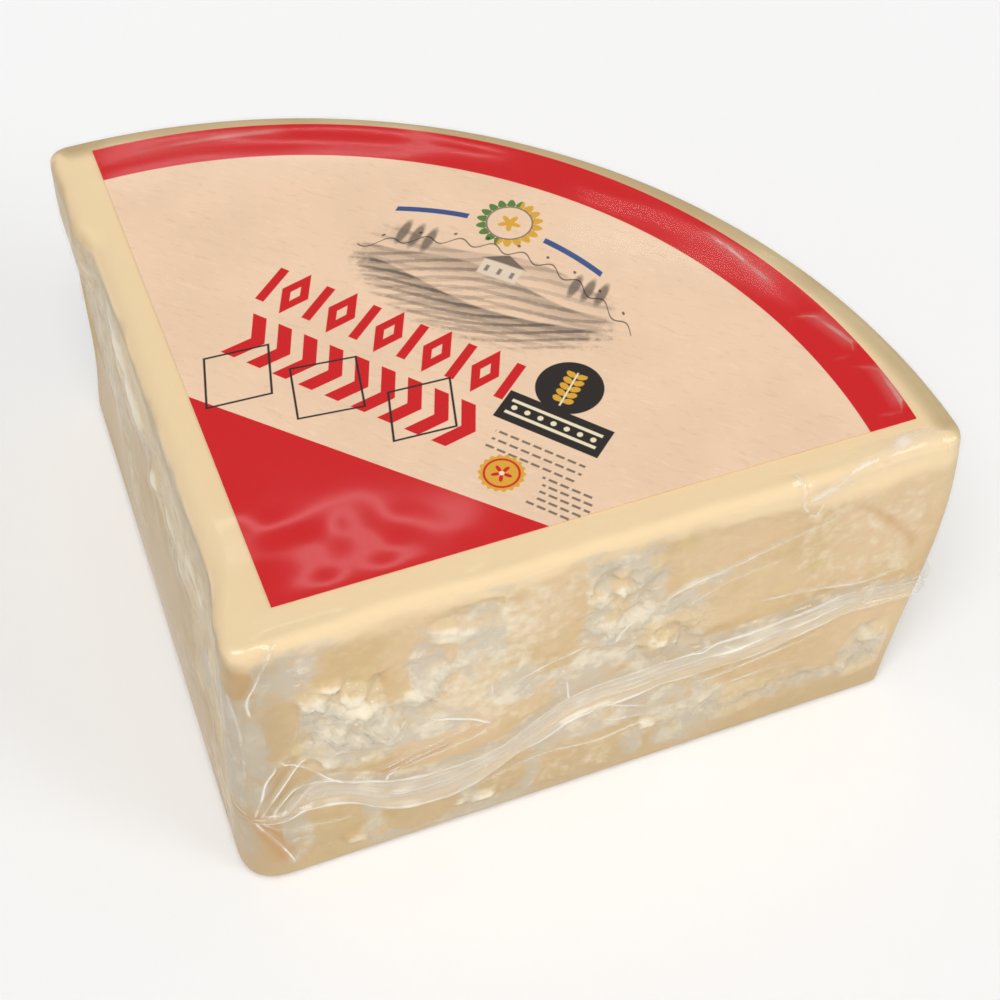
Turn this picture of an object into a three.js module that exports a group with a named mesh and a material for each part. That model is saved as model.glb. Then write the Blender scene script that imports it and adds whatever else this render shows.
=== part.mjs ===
// A vacuum-packed chunk of hard cheese: a quarter of a wheel in plan and half of its height,
// shrunk into clear film, with a paper label lying on the flat of the rind.
// Millimetres, +Z up. The working frame has the wheel's axis at x = 0, y = 0 and the cut
// faces looking along -Y (front) and -X (side). The finished group is moved at the end, so
// that its origin is the middle of its footprint.
import * as THREE from 'three';
import { mergeVertices } from 'three/addons/utils/BufferGeometryUtils.js';

// ---- Driving dimensions, mm ----
const HEIGHT = 121.5;
const RIM_BULGE = 4.5; // how far the rind swells past a straight rim
const RIM_BULGE_POWER = 1.6; // above 1 the swelling sits high on the rim

// Plan corners at the top and at the foot: the tip of the quarter and the two ends of the rim.
const TIP = { top: [-10.8, -2], foot: [-15.2, -2.2] };
const FRONT_END = { top: [213.2, -0.6], foot: [202.4, 0] };
const SIDE_END = { top: [-10, 213], foot: [-10.6, 211.4] };

// Rounding: set-backs of the upright corners, and radii of the edges round the top and foot.
const TIP_ROUND = { top: 7, foot: 15 };
const RIM_END_ROUND = { top: 7, foot: 4 };
const FOOT_EDGE = 2.2;
const TOP_EDGE_TIP = 3.6;
const TOP_EDGE_FRONT = 4.5;
const TOP_EDGE_RIM = 3.5;
const TOP_EDGE_SIDE = 6.5;

// The side face is hollow: its upper part is set in between the tip and the far end, where a
// lip of rind stands out, and it is hollow again under that lip.
const SIDE_SET_IN = 4;
const SIDE_SET_IN_SPAN = [0, 34, 162, 176];
const SIDE_SET_IN_RISE = [24, 92];
const LIP_HEIGHT = 24;
const LIP_OVERHANG = 4;
const LIP_REACH = 95;
const LIP_FULL = 25; // distance from the far end where the lip is at its full overhang
const LIP_EDGE = 3;
const LIP_FADES_AT = 34; // height below which the hollow under the lip fades out

// The gathered pleat of film that crosses the front face: heights of its lower and upper
// edge at places along X, and the stand-out of the ribs from the lower edge to the upper.
const PLEAT_FOOT = [
  [-15, 37], [-8, 38], [0, 39], [11, 36], [22, 28], [36, 23], [52, 24],
  [74, 35], [88, 43], [118, 46], [155, 46], [190, 52], [212, 50],
];
const PLEAT_TOP = [
  [-15, 41], [-8, 42], [2, 51], [16, 46], [29, 39], [52, 38], [66, 41],
  [87, 54], [118, 56], [155, 59], [186, 63], [212, 57],
];
const PLEAT_RIBS = [2.6, 1.1, 1.7, 1.1, 2.6];
const PLEAT_AT_END = 0.6; // share of the ribs' height left at the far end of the front face
const PLEAT_ON_RIM = 0.3;
const PLEAT_COVERS = 0.8; // share of the relief below that the pleat hides

// Broken, craggy patches of the cut faces: centre along the face, centre height, half width,
// half height and depth of the relief.
const FRONT_CRAGS = [
  [22, 74, 24, 26, 4.6],
  [46, 80, 11, 15, 4.0],
  [106, 92, 17, 24, 4.6],
  [126, 68, 20, 13, 3.6],
  [194, 24, 14, 17, 3.8],
  [40, 10, 36, 9, 2.6],
  [140, 20, 42, 13, 2.8],
  [60, 106, 26, 9, 2.2],
];
const SIDE_CRAGS = [
  [128, 94, 36, 22, 4.4],
  [88, 84, 28, 24, 4.0],
  [40, 70, 32, 36, 3.6],
  [170, 60, 28, 32, 2.8],
  [20, 24, 26, 18, 2.4],
];
const CRAG_SIZE = 9.5;
const FACET_TILT = 1.6;
const FACET_BLEND = 0.25;
const FACE_WAVE = 0.9;
const FACE_WAVE_LENGTH = 34;

// Label: a quarter disc about its own corner, on the flat top.
const LABEL_CORNER = [6.7, 11.2];
const LABEL_RADIUS = 194.7;
const LABEL_OPENING = THREE.MathUtils.degToRad(90.6);
const LABEL_THICKNESS = 0.5;
const LABEL_ARC_STEPS = 60;
const TOUCH_GAP = 0.3;

// ---- Mesh density ----
const FRONT_STEPS = 56;
const RIM_STEPS = 32;
const SIDE_STEPS = 50;
const ROUND_STEPS = 5;
const STATION_COUNT = FRONT_STEPS + RIM_STEPS + SIDE_STEPS + 3 * ROUND_STEPS;
const EDGE_ROWS = 2;
const ROWS_BELOW_PLEAT = 9;
const ROWS_IN_PLEAT = PLEAT_RIBS.length - 1;
const ROWS_ABOVE_PLEAT = 19;
const ROW_COUNT = ROWS_BELOW_PLEAT + ROWS_IN_PLEAT + ROWS_ABOVE_PLEAT + 2 * EDGE_ROWS;

// ---- Small maths ----
const { clamp, lerp, smoothstep } = THREE.MathUtils;

function mixPoint(a, b, t) {
  return [lerp(a[0], b[0], t), lerp(a[1], b[1], t)];
}

function distance(a, b) {
  return Math.hypot(b[0] - a[0], b[1] - a[1]);
}

function directionTo(from, to) {
  const length = distance(from, to);
  return [(to[0] - from[0]) / length, (to[1] - from[1]) / length];
}

// A smooth curve through the points of a table, held level past its ends.
function alongTable(table, x) {
  const last = table.length - 1;
  if (x <= table[0][0]) return table[0][1];
  if (x >= table[last][0]) return table[last][1];
  const i = table.findIndex((entry) => entry[0] > x);
  const [before, from, to, after] = [i - 2, i - 1, i, i + 1].map((k) => table[clamp(k, 0, last)]);
  const width = to[0] - from[0];
  const t = (x - from[0]) / width;
  const slopeFrom = (width * (to[1] - before[1])) / (to[0] - before[0]);
  const slopeTo = (width * (after[1] - from[1])) / (after[0] - from[0]);
  const rise = to[1] - from[1];
  return from[1] + t * (slopeFrom + t * (3 * rise - 2 * slopeFrom - slopeTo
    + t * (slopeFrom + slopeTo - 2 * rise)));
}

function scatter(i, j, seed) {
  const wave = Math.sin(i * 127.1 + j * 311.7 + seed * 74.7) * 43758.5453;
  return wave - Math.floor(wave);
}

function softNoise(u, v, seed) {
  const i = Math.floor(u);
  const j = Math.floor(v);
  const s = smoothstep(u - i, 0, 1);
  const t = smoothstep(v - j, 0, 1);
  const low = lerp(scatter(i, j, seed), scatter(i + 1, j, seed), s);
  const high = lerp(scatter(i, j + 1, seed), scatter(i + 1, j + 1, seed), s);
  return lerp(low, high, t) * 2 - 1;
}

// Hard cheese breaks in tilted facets: every cell of a jittered grid is one of them, and
// neighbours blend over a short way, so that no step between them is upright.
function facet(u, v, seed) {
  const cells = [];
  for (let i = Math.floor(u) - 1; i <= Math.floor(u) + 1; i += 1) {
    for (let j = Math.floor(v) - 1; j <= Math.floor(v) + 1; j += 1) {
      const du = u - i - scatter(i, j, seed);
      const dv = v - j - scatter(i, j, seed + 1);
      const tiltU = scatter(i, j, seed + 2) - 0.5;
      const tiltV = scatter(i, j, seed + 3) - 0.5;
      const height = scatter(i, j, seed + 4) - 0.6 + FACET_TILT * (tiltU * du + tiltV * dv);
      cells.push({ away: Math.hypot(du, dv), height });
    }
  }
  cells.sort((a, b) => a.away - b.away);
  const margin = cells[1].away - cells[0].away;
  return lerp(cells[0].height, cells[1].height, 0.5 * (1 - smoothstep(margin, 0, FACET_BLEND)));
}

// ---- Relief of the cut faces, mm outwards ----
function cragRelief(patches, along, z, seed) {
  let depth = 0;
  for (const [centre, height, halfWidth, halfHeight, strength] of patches) {
    const reach = Math.hypot((along - centre) / halfWidth, (z - height) / halfHeight);
    depth = Math.max(depth, strength * (1 - smoothstep(reach, 0.55, 1.15)));
  }
  const wave = softNoise(along / FACE_WAVE_LENGTH, z / FACE_WAVE_LENGTH, seed + 9);
  return depth * facet(along / CRAG_SIZE, z / CRAG_SIZE, seed) + FACE_WAVE * wave;
}

function sideHollow(y, z) {
  const nearEnd = smoothstep(y, SIDE_END.top[1] - LIP_REACH, SIDE_END.top[1] - LIP_FULL);
  const lipFoot = HEIGHT - LIP_HEIGHT;
  const underLip = 1 - smoothstep(z, lipFoot - LIP_EDGE, lipFoot + LIP_EDGE);
  const aboveFoot = smoothstep(z, 0, LIP_FADES_AT);
  const [start, full, fullEnd, end] = SIDE_SET_IN_SPAN;
  const along = smoothstep(y, start, full) * (1 - smoothstep(y, fullEnd, end));
  const setIn = along * smoothstep(z, ...SIDE_SET_IN_RISE);
  return Math.max(LIP_OVERHANG * nearEnd * underLip * aboveFoot, SIDE_SET_IN * setIn);
}

// ---- Plan outline, as stations round the chunk ----
// A station knows its face, its place from 0 to 1 along that face, and how round it is.
function makeStations() {
  const runs = [
    ['front', FRONT_STEPS],
    ['frontEnd', ROUND_STEPS],
    ['rim', RIM_STEPS],
    ['sideEnd', ROUND_STEPS],
    ['side', SIDE_STEPS],
    ['tip', ROUND_STEPS],
  ];
  return runs.flatMap(([face, steps]) =>
    Array.from({ length: steps }, (_, i) => ({ face, t: i / steps })));
}

function cornersAt(h) {
  const swell = RIM_BULGE * Math.sin(Math.PI * h ** RIM_BULGE_POWER);
  const tip = mixPoint(TIP.foot, TIP.top, h);
  const front = mixPoint(FRONT_END.foot, FRONT_END.top, h);
  const side = mixPoint(SIDE_END.foot, SIDE_END.top, h);
  return { tip, frontEnd: [front[0] + swell, front[1]], sideEnd: [side[0], side[1] + swell] };
}

function rimPoint(corners, t) {
  const start = Math.atan2(corners.frontEnd[1], corners.frontEnd[0]);
  const end = Math.atan2(corners.sideEnd[1], corners.sideEnd[0]);
  const radius = lerp(Math.hypot(...corners.frontEnd), Math.hypot(...corners.sideEnd), t);
  const angle = lerp(start, end, t);
  return [radius * Math.cos(angle), radius * Math.sin(angle)];
}

// Points and outward directions of the outline at a height fraction h.
function planPoint(station, h) {
  const corners = cornersAt(h);
  const tipRound = lerp(TIP_ROUND.foot, TIP_ROUND.top, h);
  const endRound = lerp(RIM_END_ROUND.foot, RIM_END_ROUND.top, h);
  const alongFront = directionTo(corners.tip, corners.frontEnd);
  const alongSide = directionTo(corners.tip, corners.sideEnd);
  const frontLength = distance(corners.tip, corners.frontEnd);
  const sideLength = distance(corners.tip, corners.sideEnd);
  const rimShare = endRound / (Math.hypot(...corners.frontEnd) * Math.PI / 2);
  const onFront = (d) => [corners.tip[0] + alongFront[0] * d, corners.tip[1] + alongFront[1] * d];
  const onSide = (d) => [corners.tip[0] + alongSide[0] * d, corners.tip[1] + alongSide[1] * d];
  const bend = (a, b, c, t) => mixPoint(mixPoint(a, b, t), mixPoint(b, c, t), t);
  const outFront = [alongFront[1], -alongFront[0]];
  const outSide = [-alongSide[1], alongSide[0]];
  const { face, t } = station;
  const turned = (a, b, s) => directionTo([0, 0], mixPoint(a, b, s));
  if (face === 'front') {
    return { p: onFront(lerp(tipRound, frontLength - endRound, t)), n: outFront };
  }
  if (face === 'side') {
    return { p: onSide(lerp(sideLength - endRound, tipRound, t)), n: outSide };
  }
  if (face === 'rim') {
    const p = rimPoint(corners, lerp(rimShare, 1 - rimShare, t));
    return { p, n: directionTo([0, 0], p) };
  }
  if (face === 'frontEnd') {
    const meet = rimPoint(corners, rimShare);
    const p = bend(onFront(frontLength - endRound), corners.frontEnd, meet, t);
    return { p, n: turned(outFront, directionTo([0, 0], meet), t) };
  }
  if (face === 'sideEnd') {
    const meet = rimPoint(corners, 1 - rimShare);
    const p = bend(meet, corners.sideEnd, onSide(sideLength - endRound), t);
    return { p, n: turned(directionTo([0, 0], meet), outSide, t) };
  }
  return { p: bend(onSide(tipRound), corners.tip, onFront(tipRound), t), n: turned(outSide, outFront, t) };
}

// ---- Heights of the rows: the middle rows follow the pleat across the front face ----
function pleatX(station) {
  const frontX = lerp(TIP.top[0], FRONT_END.top[0], station.t);
  const ends = { front: frontX, frontEnd: FRONT_END.top[0], rim: FRONT_END.top[0] };
  return ends[station.face] ?? lerp(FRONT_END.top[0], TIP.top[0], sideProgress(station));
}

function sideProgress(station) {
  if (station.face === 'sideEnd') return 0;
  return station.face === 'side' ? smoothstep(station.t, 0, 1) : 1;
}

function pleatStrength(station) {
  const { face, t } = station;
  if (face === 'front') {
    return lerp(0.8, 1, smoothstep(t, 0, 0.15)) * lerp(1, PLEAT_AT_END, smoothstep(t, 0.85, 1));
  }
  if (face === 'frontEnd') return lerp(PLEAT_AT_END, PLEAT_ON_RIM, t);
  if (face === 'rim') return PLEAT_ON_RIM;
  if (face === 'tip') return 0.8 * t;
  return face === 'sideEnd' ? PLEAT_ON_RIM * (1 - t) : 0;
}

function topEdge(station) {
  const { face, t } = station;
  const lip = TOP_EDGE_RIM + 1;
  const alongSide = lerp(lip, TOP_EDGE_SIDE, smoothstep(t, 0, 0.2));
  if (face === 'front') return lerp(TOP_EDGE_TIP, TOP_EDGE_FRONT, smoothstep(t, 0, 0.1));
  if (face === 'frontEnd') return lerp(TOP_EDGE_FRONT, TOP_EDGE_RIM, t);
  if (face === 'sideEnd') return lerp(TOP_EDGE_RIM, lip, t);
  if (face === 'side') return lerp(alongSide, TOP_EDGE_TIP, smoothstep(t, 0.85, 1));
  return face === 'tip' ? TOP_EDGE_TIP : TOP_EDGE_RIM;
}

// One row of one station: its height, how far the edge rounding sets it in, and its rib.
function rowAt(station, row) {
  const x = pleatX(station);
  const pleatFoot = alongTable(PLEAT_FOOT, x);
  const pleatTop = alongTable(PLEAT_TOP, x);
  const edge = topEdge(station);
  const quarter = Math.PI / 2;
  if (row < EDGE_ROWS) {
    const a = (row / EDGE_ROWS) * quarter;
    return { z: FOOT_EDGE * (1 - Math.cos(a)), inset: FOOT_EDGE * (1 - Math.sin(a)), rib: 0 };
  }
  if (row > ROW_COUNT - EDGE_ROWS) {
    const a = ((ROW_COUNT - row) / EDGE_ROWS) * quarter;
    return { z: HEIGHT - edge * (1 - Math.cos(a)), inset: edge * (1 - Math.sin(a)), rib: 0 };
  }
  const step = row - EDGE_ROWS;
  if (step < ROWS_BELOW_PLEAT) {
    return { z: lerp(FOOT_EDGE, pleatFoot, step / ROWS_BELOW_PLEAT), inset: 0, rib: 0 };
  }
  if (step <= ROWS_BELOW_PLEAT + ROWS_IN_PLEAT) {
    const rib = step - ROWS_BELOW_PLEAT;
    return { z: lerp(pleatFoot, pleatTop, rib / ROWS_IN_PLEAT), inset: 0, rib: PLEAT_RIBS[rib] };
  }
  const up = (step - ROWS_BELOW_PLEAT - ROWS_IN_PLEAT) / ROWS_ABOVE_PLEAT;
  return { z: lerp(pleatTop, HEIGHT - edge, up), inset: 0, rib: 0 };
}

// Relief of a station at a height. It dies out at the top and foot edges and at the corners.
function reliefAt(station, p, z) {
  const { face, t } = station;
  const fade = smoothstep(z, FOOT_EDGE, FOOT_EDGE + 8) * (1 - smoothstep(z, HEIGHT - 12, HEIGHT - 5));
  const ends = smoothstep(t, 0, 0.04) * (1 - smoothstep(t, 0.96, 1));
  if (face === 'front') return fade * ends * cragRelief(FRONT_CRAGS, p[0], z, 3);
  if (face === 'side') return fade * ends * cragRelief(SIDE_CRAGS, p[1], z, 23) - sideHollow(p[1], z);
  if (face === 'sideEnd') return -sideHollow(p[1], z) * t;
  if (face === 'rim') {
    return fade * ends * FACE_WAVE * softNoise(t * 9, z / FACE_WAVE_LENGTH, 41);
  }
  return 0;
}

// ---- The packed chunk: a drum whose rings are bent to the quarter's outline ----
function packGeometry() {
  const drum = new THREE.CylinderGeometry(1, 1, 1, STATION_COUNT, ROW_COUNT);
  drum.deleteAttribute('normal');
  drum.deleteAttribute('uv');
  drum.rotateX(Math.PI / 2);
  const body = mergeVertices(drum, 1e-4);
  const stations = makeStations();
  const place = body.attributes.position;
  for (let i = 0; i < place.count; i += 1) {
    const radius = Math.hypot(place.getX(i), place.getY(i));
    const row = Math.round((place.getZ(i) + 0.5) * ROW_COUNT);
    if (radius < 0.5) {
      place.setXYZ(i, LABEL_RADIUS / 3, LABEL_RADIUS / 3, row === 0 ? 0 : HEIGHT);
      continue;
    }
    const turn = Math.atan2(place.getY(i), place.getX(i)) / (2 * Math.PI);
    const index = Math.round(turn * STATION_COUNT + STATION_COUNT) % STATION_COUNT;
    const station = stations[index];
    const { z, inset, rib } = rowAt(station, row);
    const { p, n } = planPoint(station, clamp(z / HEIGHT, 0, 1));
    const pleat = pleatStrength(station);
    const shown = rib > 0 ? 1 - PLEAT_COVERS * pleat : 1;
    const out = reliefAt(station, p, z) * shown + rib * pleat - inset;
    place.setXYZ(i, p[0] + n[0] * out, p[1] + n[1] * out, z);
  }
  return body;
}

// ---- The label: a quarter disc of paper ----
function labelGeometry() {
  const outline = new THREE.Shape();
  outline.moveTo(0, 0);
  outline.lineTo(LABEL_RADIUS, 0);
  outline.absarc(0, 0, LABEL_RADIUS, 0, LABEL_OPENING, false);
  outline.closePath();
  return new THREE.ExtrudeGeometry(outline, {
    depth: LABEL_THICKNESS,
    bevelEnabled: false,
    curveSegments: LABEL_ARC_STEPS,
  });
}

const packFinish = new THREE.MeshStandardMaterial({ color: 0xe6cfa2, roughness: 0.3, metalness: 0 });
const labelFinish = new THREE.MeshStandardMaterial({ color: 0xecd2b6, roughness: 0.55, metalness: 0 });

const pack = new THREE.Mesh(packGeometry(), packFinish);
pack.name = 'film_pack';

const label = new THREE.Mesh(labelGeometry(), labelFinish);
label.name = 'label';
label.position.set(LABEL_CORNER[0], LABEL_CORNER[1], HEIGHT + TOUCH_GAP);

const chunk = new THREE.Group();
chunk.add(pack, label);

const footprint = new THREE.Box3().setFromObject(pack);
chunk.position.x = -(footprint.min.x + footprint.max.x) / 2;
chunk.position.y = -(footprint.min.y + footprint.max.y) / 2;
chunk.updateMatrixWorld(true);

export default chunk;
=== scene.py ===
# %% [markdown]
# # A vacuum-packed chunk of hard cheese
# A quarter of a wheel, half as high as the wheel, lies in clear shrink film with a paper label
# on the flat of its rind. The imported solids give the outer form. Here the one solid that stands
# for the whole pack becomes two pieces, the cheese and the thin film round it, and the label
# gets its print. Lengths are in millimetres until a mesh is written, because the craft is
# thought out in millimetres, and Blender's own unit stays the metre.

# %% Load the frame
import math

import bmesh
import bpy
import numpy as np
from mathutils import Euler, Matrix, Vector


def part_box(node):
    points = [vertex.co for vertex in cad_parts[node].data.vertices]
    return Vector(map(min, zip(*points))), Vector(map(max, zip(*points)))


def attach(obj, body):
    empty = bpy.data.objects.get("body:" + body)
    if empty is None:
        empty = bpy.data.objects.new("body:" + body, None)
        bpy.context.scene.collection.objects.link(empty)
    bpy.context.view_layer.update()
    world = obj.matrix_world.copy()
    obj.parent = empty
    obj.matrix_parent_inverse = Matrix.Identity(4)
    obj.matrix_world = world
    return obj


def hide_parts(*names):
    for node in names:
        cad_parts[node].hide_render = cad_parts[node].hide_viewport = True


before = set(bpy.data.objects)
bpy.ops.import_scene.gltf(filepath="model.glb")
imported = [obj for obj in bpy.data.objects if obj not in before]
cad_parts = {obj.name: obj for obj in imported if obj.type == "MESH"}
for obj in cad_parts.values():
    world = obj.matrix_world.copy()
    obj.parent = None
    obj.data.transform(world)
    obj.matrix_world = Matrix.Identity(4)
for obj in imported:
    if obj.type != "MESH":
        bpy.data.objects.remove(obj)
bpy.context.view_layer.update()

MM = 0.001
print("CAD nodes:", sorted(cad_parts))

# %% [markdown]
# ## Camera
# The camera comes first, because every later choice is judged through it. It looks down on the
# tip of the quarter from a little to the left, with a longish lens, so the edges converge only
# slightly. Its place is given from the wheel's axis, which the label's box locates: the label
# is a quarter disc whose corner and radius are known.

# %% Wheel axis and camera
LABEL_CORNER = np.array([6.7, 11.2])
LABEL_RADIUS = 194.7
HEIGHT = 121.5

label_low, label_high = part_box("label")
pack_low, pack_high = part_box("film_pack")
AXIS = np.array([
    label_high.x / MM - LABEL_CORNER[0] - LABEL_RADIUS,
    label_low.y / MM - LABEL_CORNER[1],
])
print("wheel axis at", AXIS.round(2), "mm; pack is", (np.array(pack_high - pack_low) / MM).round(1))

CAMERA_FROM_AXIS = (-56.6, -337.4, 599.9)
CAMERA_AZIMUTH = math.radians(20.35)
CAMERA_ELEVATION = math.radians(51.12)
CAMERA_LENS = 78.8


def add_camera():
    data = bpy.data.cameras.new("camera")
    data.lens = CAMERA_LENS
    data.sensor_width = 36
    data.clip_start = 0.01
    camera = bpy.data.objects.new("camera", data)
    bpy.context.scene.collection.objects.link(camera)
    camera.location = (
        (AXIS[0] + CAMERA_FROM_AXIS[0]) * MM,
        (AXIS[1] + CAMERA_FROM_AXIS[1]) * MM,
        CAMERA_FROM_AXIS[2] * MM,
    )
    camera.rotation_euler = Euler((math.pi / 2 - CAMERA_ELEVATION, 0, -CAMERA_AZIMUTH))
    bpy.context.scene.camera = camera
    return camera


print("camera at", [round(value, 3) for value in add_camera().location], "m")

# %% [markdown]
# ## Shader maths as Python
# A node tree for a printed label needs hundreds of Math nodes. One small class wraps a socket
# and gives it Python's operators, so `1 - mask` or `abs(x) - 3` adds the nodes by itself.
# Colours and vectors never pass through it: they go through Mix and Vector Math nodes, because
# a Math node would turn a colour grey.

# %% Socket wrapper
class Socket:
    """A node output that can be used in Python expressions."""

    def __init__(self, tree, socket):
        self.tree = tree
        self.socket = socket

    def math(self, operation, *others):
        node = self.tree.nodes.new("ShaderNodeMath")
        node.operation = operation
        for slot, value in zip(node.inputs, (self, *others)):
            plug(self.tree, slot, value)
        return Socket(self.tree, node.outputs[0])

    def __add__(self, other):
        return self.math("ADD", other)

    __radd__ = __add__

    def __mul__(self, other):
        return self.math("MULTIPLY", other)

    __rmul__ = __mul__

    def __sub__(self, other):
        return self.math("SUBTRACT", other)

    def __rsub__(self, other):
        return (self * -1) + other

    def __truediv__(self, other):
        return self.math("DIVIDE", other)

    def __neg__(self):
        return self * -1

    def __abs__(self):
        return self.math("ABSOLUTE")

    def __pow__(self, power):
        return self.math("POWER", power)

    def __and__(self, other):
        return self.math("MINIMUM", other)

    def __or__(self, other):
        return self.math("MAXIMUM", other)


def plug(tree, slot, value):
    """Links a Socket to an input, or sets the input to a plain value."""
    if isinstance(value, Socket):
        tree.links.new(value.socket, slot)
    else:
        slot.default_value = value


# %% Materials, with one method that adds any node
class Material:
    """A node material, with one method that adds any node."""

    def __init__(self, name):
        self.data = bpy.data.materials.new(name)
        self.data.use_nodes = True
        self.tree = self.data.node_tree
        self.tree.nodes.clear()

    def node(self, kind, settings=(), out=0, **values):
        """Adds ShaderNode<kind>: settings first, then values for sockets by name, or i0, i1 by place."""
        made = self.tree.nodes.new("ShaderNode" + kind)
        for key, value in dict(settings).items():
            setattr(made, key, value)
        for key, value in values.items():
            numbered = key[0] == "i" and key[1:].isdigit()
            plug(self.tree, made.inputs[int(key[1:]) if numbered else key], value)
        return Socket(self.tree, made.outputs[out])

    def mix(self, factor, a, b):
        """Mixes two colours."""
        return self.node("Mix", {"data_type": "RGBA"}, out=2, i0=factor, i6=a, i7=b)

    def noise(self, vector, scale, detail, roughness=0.55, distortion=0.0):
        values = {"Vector": vector, "Scale": scale, "Detail": detail}
        values.update(Roughness=roughness, Distortion=distortion)
        return self.node("TexNoise", {}, **values)

    def ramp(self, value, low, high):
        """0 below low, 1 above high, smooth between."""
        values = {"Value": value, "From Min": low, "From Max": high}
        return self.node("MapRange", {"interpolation_type": "SMOOTHSTEP"}, **values)

    def coordinates(self):
        return self.node("TexCoord", out=3)

    def attribute(self, name):
        return self.node("Attribute", {"attribute_name": name}, out=2)

    def stretched(self, vector, scale):
        return self.node("VectorMath", {"operation": "MULTIPLY"}, i0=vector, i1=scale)

    def output(self, shader):
        end = self.tree.nodes.new("ShaderNodeOutputMaterial")
        plug(self.tree, end.inputs["Surface"], shader)
        return self.data


# %% Colours, and dressing a piece
def srgb(red, green, blue):
    """A colour as a picture editor gives it, 0 to 255, in the linear values that shaders use."""
    def linear(value):
        value /= 255
        return value / 12.92 if value <= 0.04045 else ((value + 0.055) / 1.055) ** 2.4
    return (linear(red), linear(green), linear(blue), 1.0)


def dress(piece, material):
    piece.data.materials.append(material)
    print(piece.name, "wears", material.name, "with", len(material.node_tree.nodes), "nodes")


# %% [markdown]
# ## The outline of the quarter
# Cheese and film share one construction: a drum, which is a tidy closed mesh of rows and
# columns, whose every ring is bent to the outline of the quarter. That is front cut, rim, side
# cut and the three rounded upright corners between them. A block carved by hand would do as
# well, but here the rows can follow the film's pleat, and each fold gets vertices where it lies.

# %% Outline values
# Plan points in mm from the wheel's axis, X along the front cut and Y along the side cut.
TIP = {"top": (-10.8, -2.0), "foot": (-15.2, -2.2)}
FRONT_END = {"top": (213.2, -0.6), "foot": (202.4, 0.0)}
SIDE_END = {"top": (-10.0, 213.0), "foot": (-10.6, 211.4)}
RIM_BULGE = 4.5
RIM_BULGE_POWER = 1.6
TIP_ROUND = (15.0, 7.0)
RIM_END_ROUND = (4.0, 7.0)

RUNS = (("front", 262), ("front_end", 8), ("rim", 70), ("side_end", 8), ("side", 120), ("tip", 26))
ROWS = {"foot": 4, "foot_edge": 4, "below": 34, "pleat": 30, "above": 80, "top_edge": 7, "top": 34}
COLUMNS = sum(count for _, count in RUNS)
ROW_COUNT = sum(ROWS.values()) + 1
print("drum of", ROW_COUNT, "rows and", COLUMNS, "columns")


# %% Outline helpers
def smooth(value, low, high):
    t = np.clip((value - low) / (high - low), 0, 1)
    return t * t * (3 - 2 * t)


def mix(a, b, t):
    return a + (b - a) * t


def unit(vector):
    return vector / np.linalg.norm(vector, axis=-1, keepdims=True)


def through(table, x):
    """A smooth curve through the points of a table, held level past its ends."""
    xs, ys = np.array(table, float).T
    slope = np.gradient(ys, xs)
    slope[1:-1] = (ys[2:] - ys[:-2]) / (xs[2:] - xs[:-2])
    slope[0] = (ys[1] - ys[0]) / (xs[1] - xs[0])
    slope[-1] = (ys[-1] - ys[-2]) / (xs[-1] - xs[-2])
    x = np.clip(x, xs[0], xs[-1])
    i = np.clip(np.searchsorted(xs, x) - 1, 0, len(xs) - 2)
    width = xs[i + 1] - xs[i]
    t = (x - xs[i]) / width
    rise = ys[i + 1] - ys[i]
    a, b = slope[i] * width, slope[i + 1] * width
    return ys[i] + t * (a + t * (3 * rise - 2 * a - b + t * (a + b - 2 * rise)))


def columns_of(face):
    """Which columns of the drum belong to a face, and how far along it each of them is."""
    start = 0
    for name, count in RUNS:
        if name == face:
            return slice(start, start + count), np.arange(count) / count
        start += count
    raise KeyError(face)


# %% Corners and bends of the plan
def corners_at(h):
    """The three plan corners at height fractions h, the rim's swelling included."""
    swell = RIM_BULGE * np.sin(np.pi * h ** RIM_BULGE_POWER)
    tip, front, side = (
        mix(np.array(ends["foot"]), np.array(ends["top"]), h) for ends in (TIP, FRONT_END, SIDE_END)
    )
    return tip, front + swell * (1, 0), side + swell * (0, 1)


def length(vector):
    return np.linalg.norm(vector, axis=-1, keepdims=True)


def turned(vector, sense):
    return sense * np.stack([vector[..., 1], -vector[..., 0]], -1)


def bend(a, b, c, t):
    return mix(mix(a, b, t), mix(b, c, t), t)


# %% Plan points and outward directions
def face_points(face, t, h):
    """Plan points and outward directions of one face, at t from 0 to 1 along it."""
    tip, front, side = corners_at(h)
    tip_round, end_round = mix(*TIP_ROUND, h), mix(*RIM_END_ROUND, h)
    to_front, to_side = unit(front - tip), unit(side - tip)
    out_front, out_side = turned(to_front, 1), turned(to_side, -1)
    front_stop = tip + to_front * (length(front - tip) - end_round)
    side_stop = tip + to_side * (length(side - tip) - end_round)
    share = end_round / (length(front) * np.pi / 2)

    def on_rim(s):
        angle = mix(np.arctan2(front[..., 1:], front[..., :1]), np.arctan2(side[..., 1:], side[..., :1]), s)
        return mix(length(front), length(side), s) * np.concatenate([np.cos(angle), np.sin(angle)], -1)

    if face == "front":
        return mix(tip + to_front * tip_round, front_stop, t), out_front
    if face == "side":
        return mix(side_stop, tip + to_side * tip_round, t), out_side
    if face == "rim":
        point = on_rim(mix(share, 1 - share, t))
        return point, unit(point)
    if face == "front_end":
        return bend(front_stop, front, on_rim(share), t), unit(mix(out_front, unit(on_rim(share)), t))
    if face == "side_end":
        back = on_rim(1 - share)
        return bend(back, side, side_stop, t), unit(mix(unit(back), out_side, t))
    around = bend(tip + to_side * tip_round, tip, tip + to_front * tip_round, t)
    return around, unit(mix(out_side, out_front, t))


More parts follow.
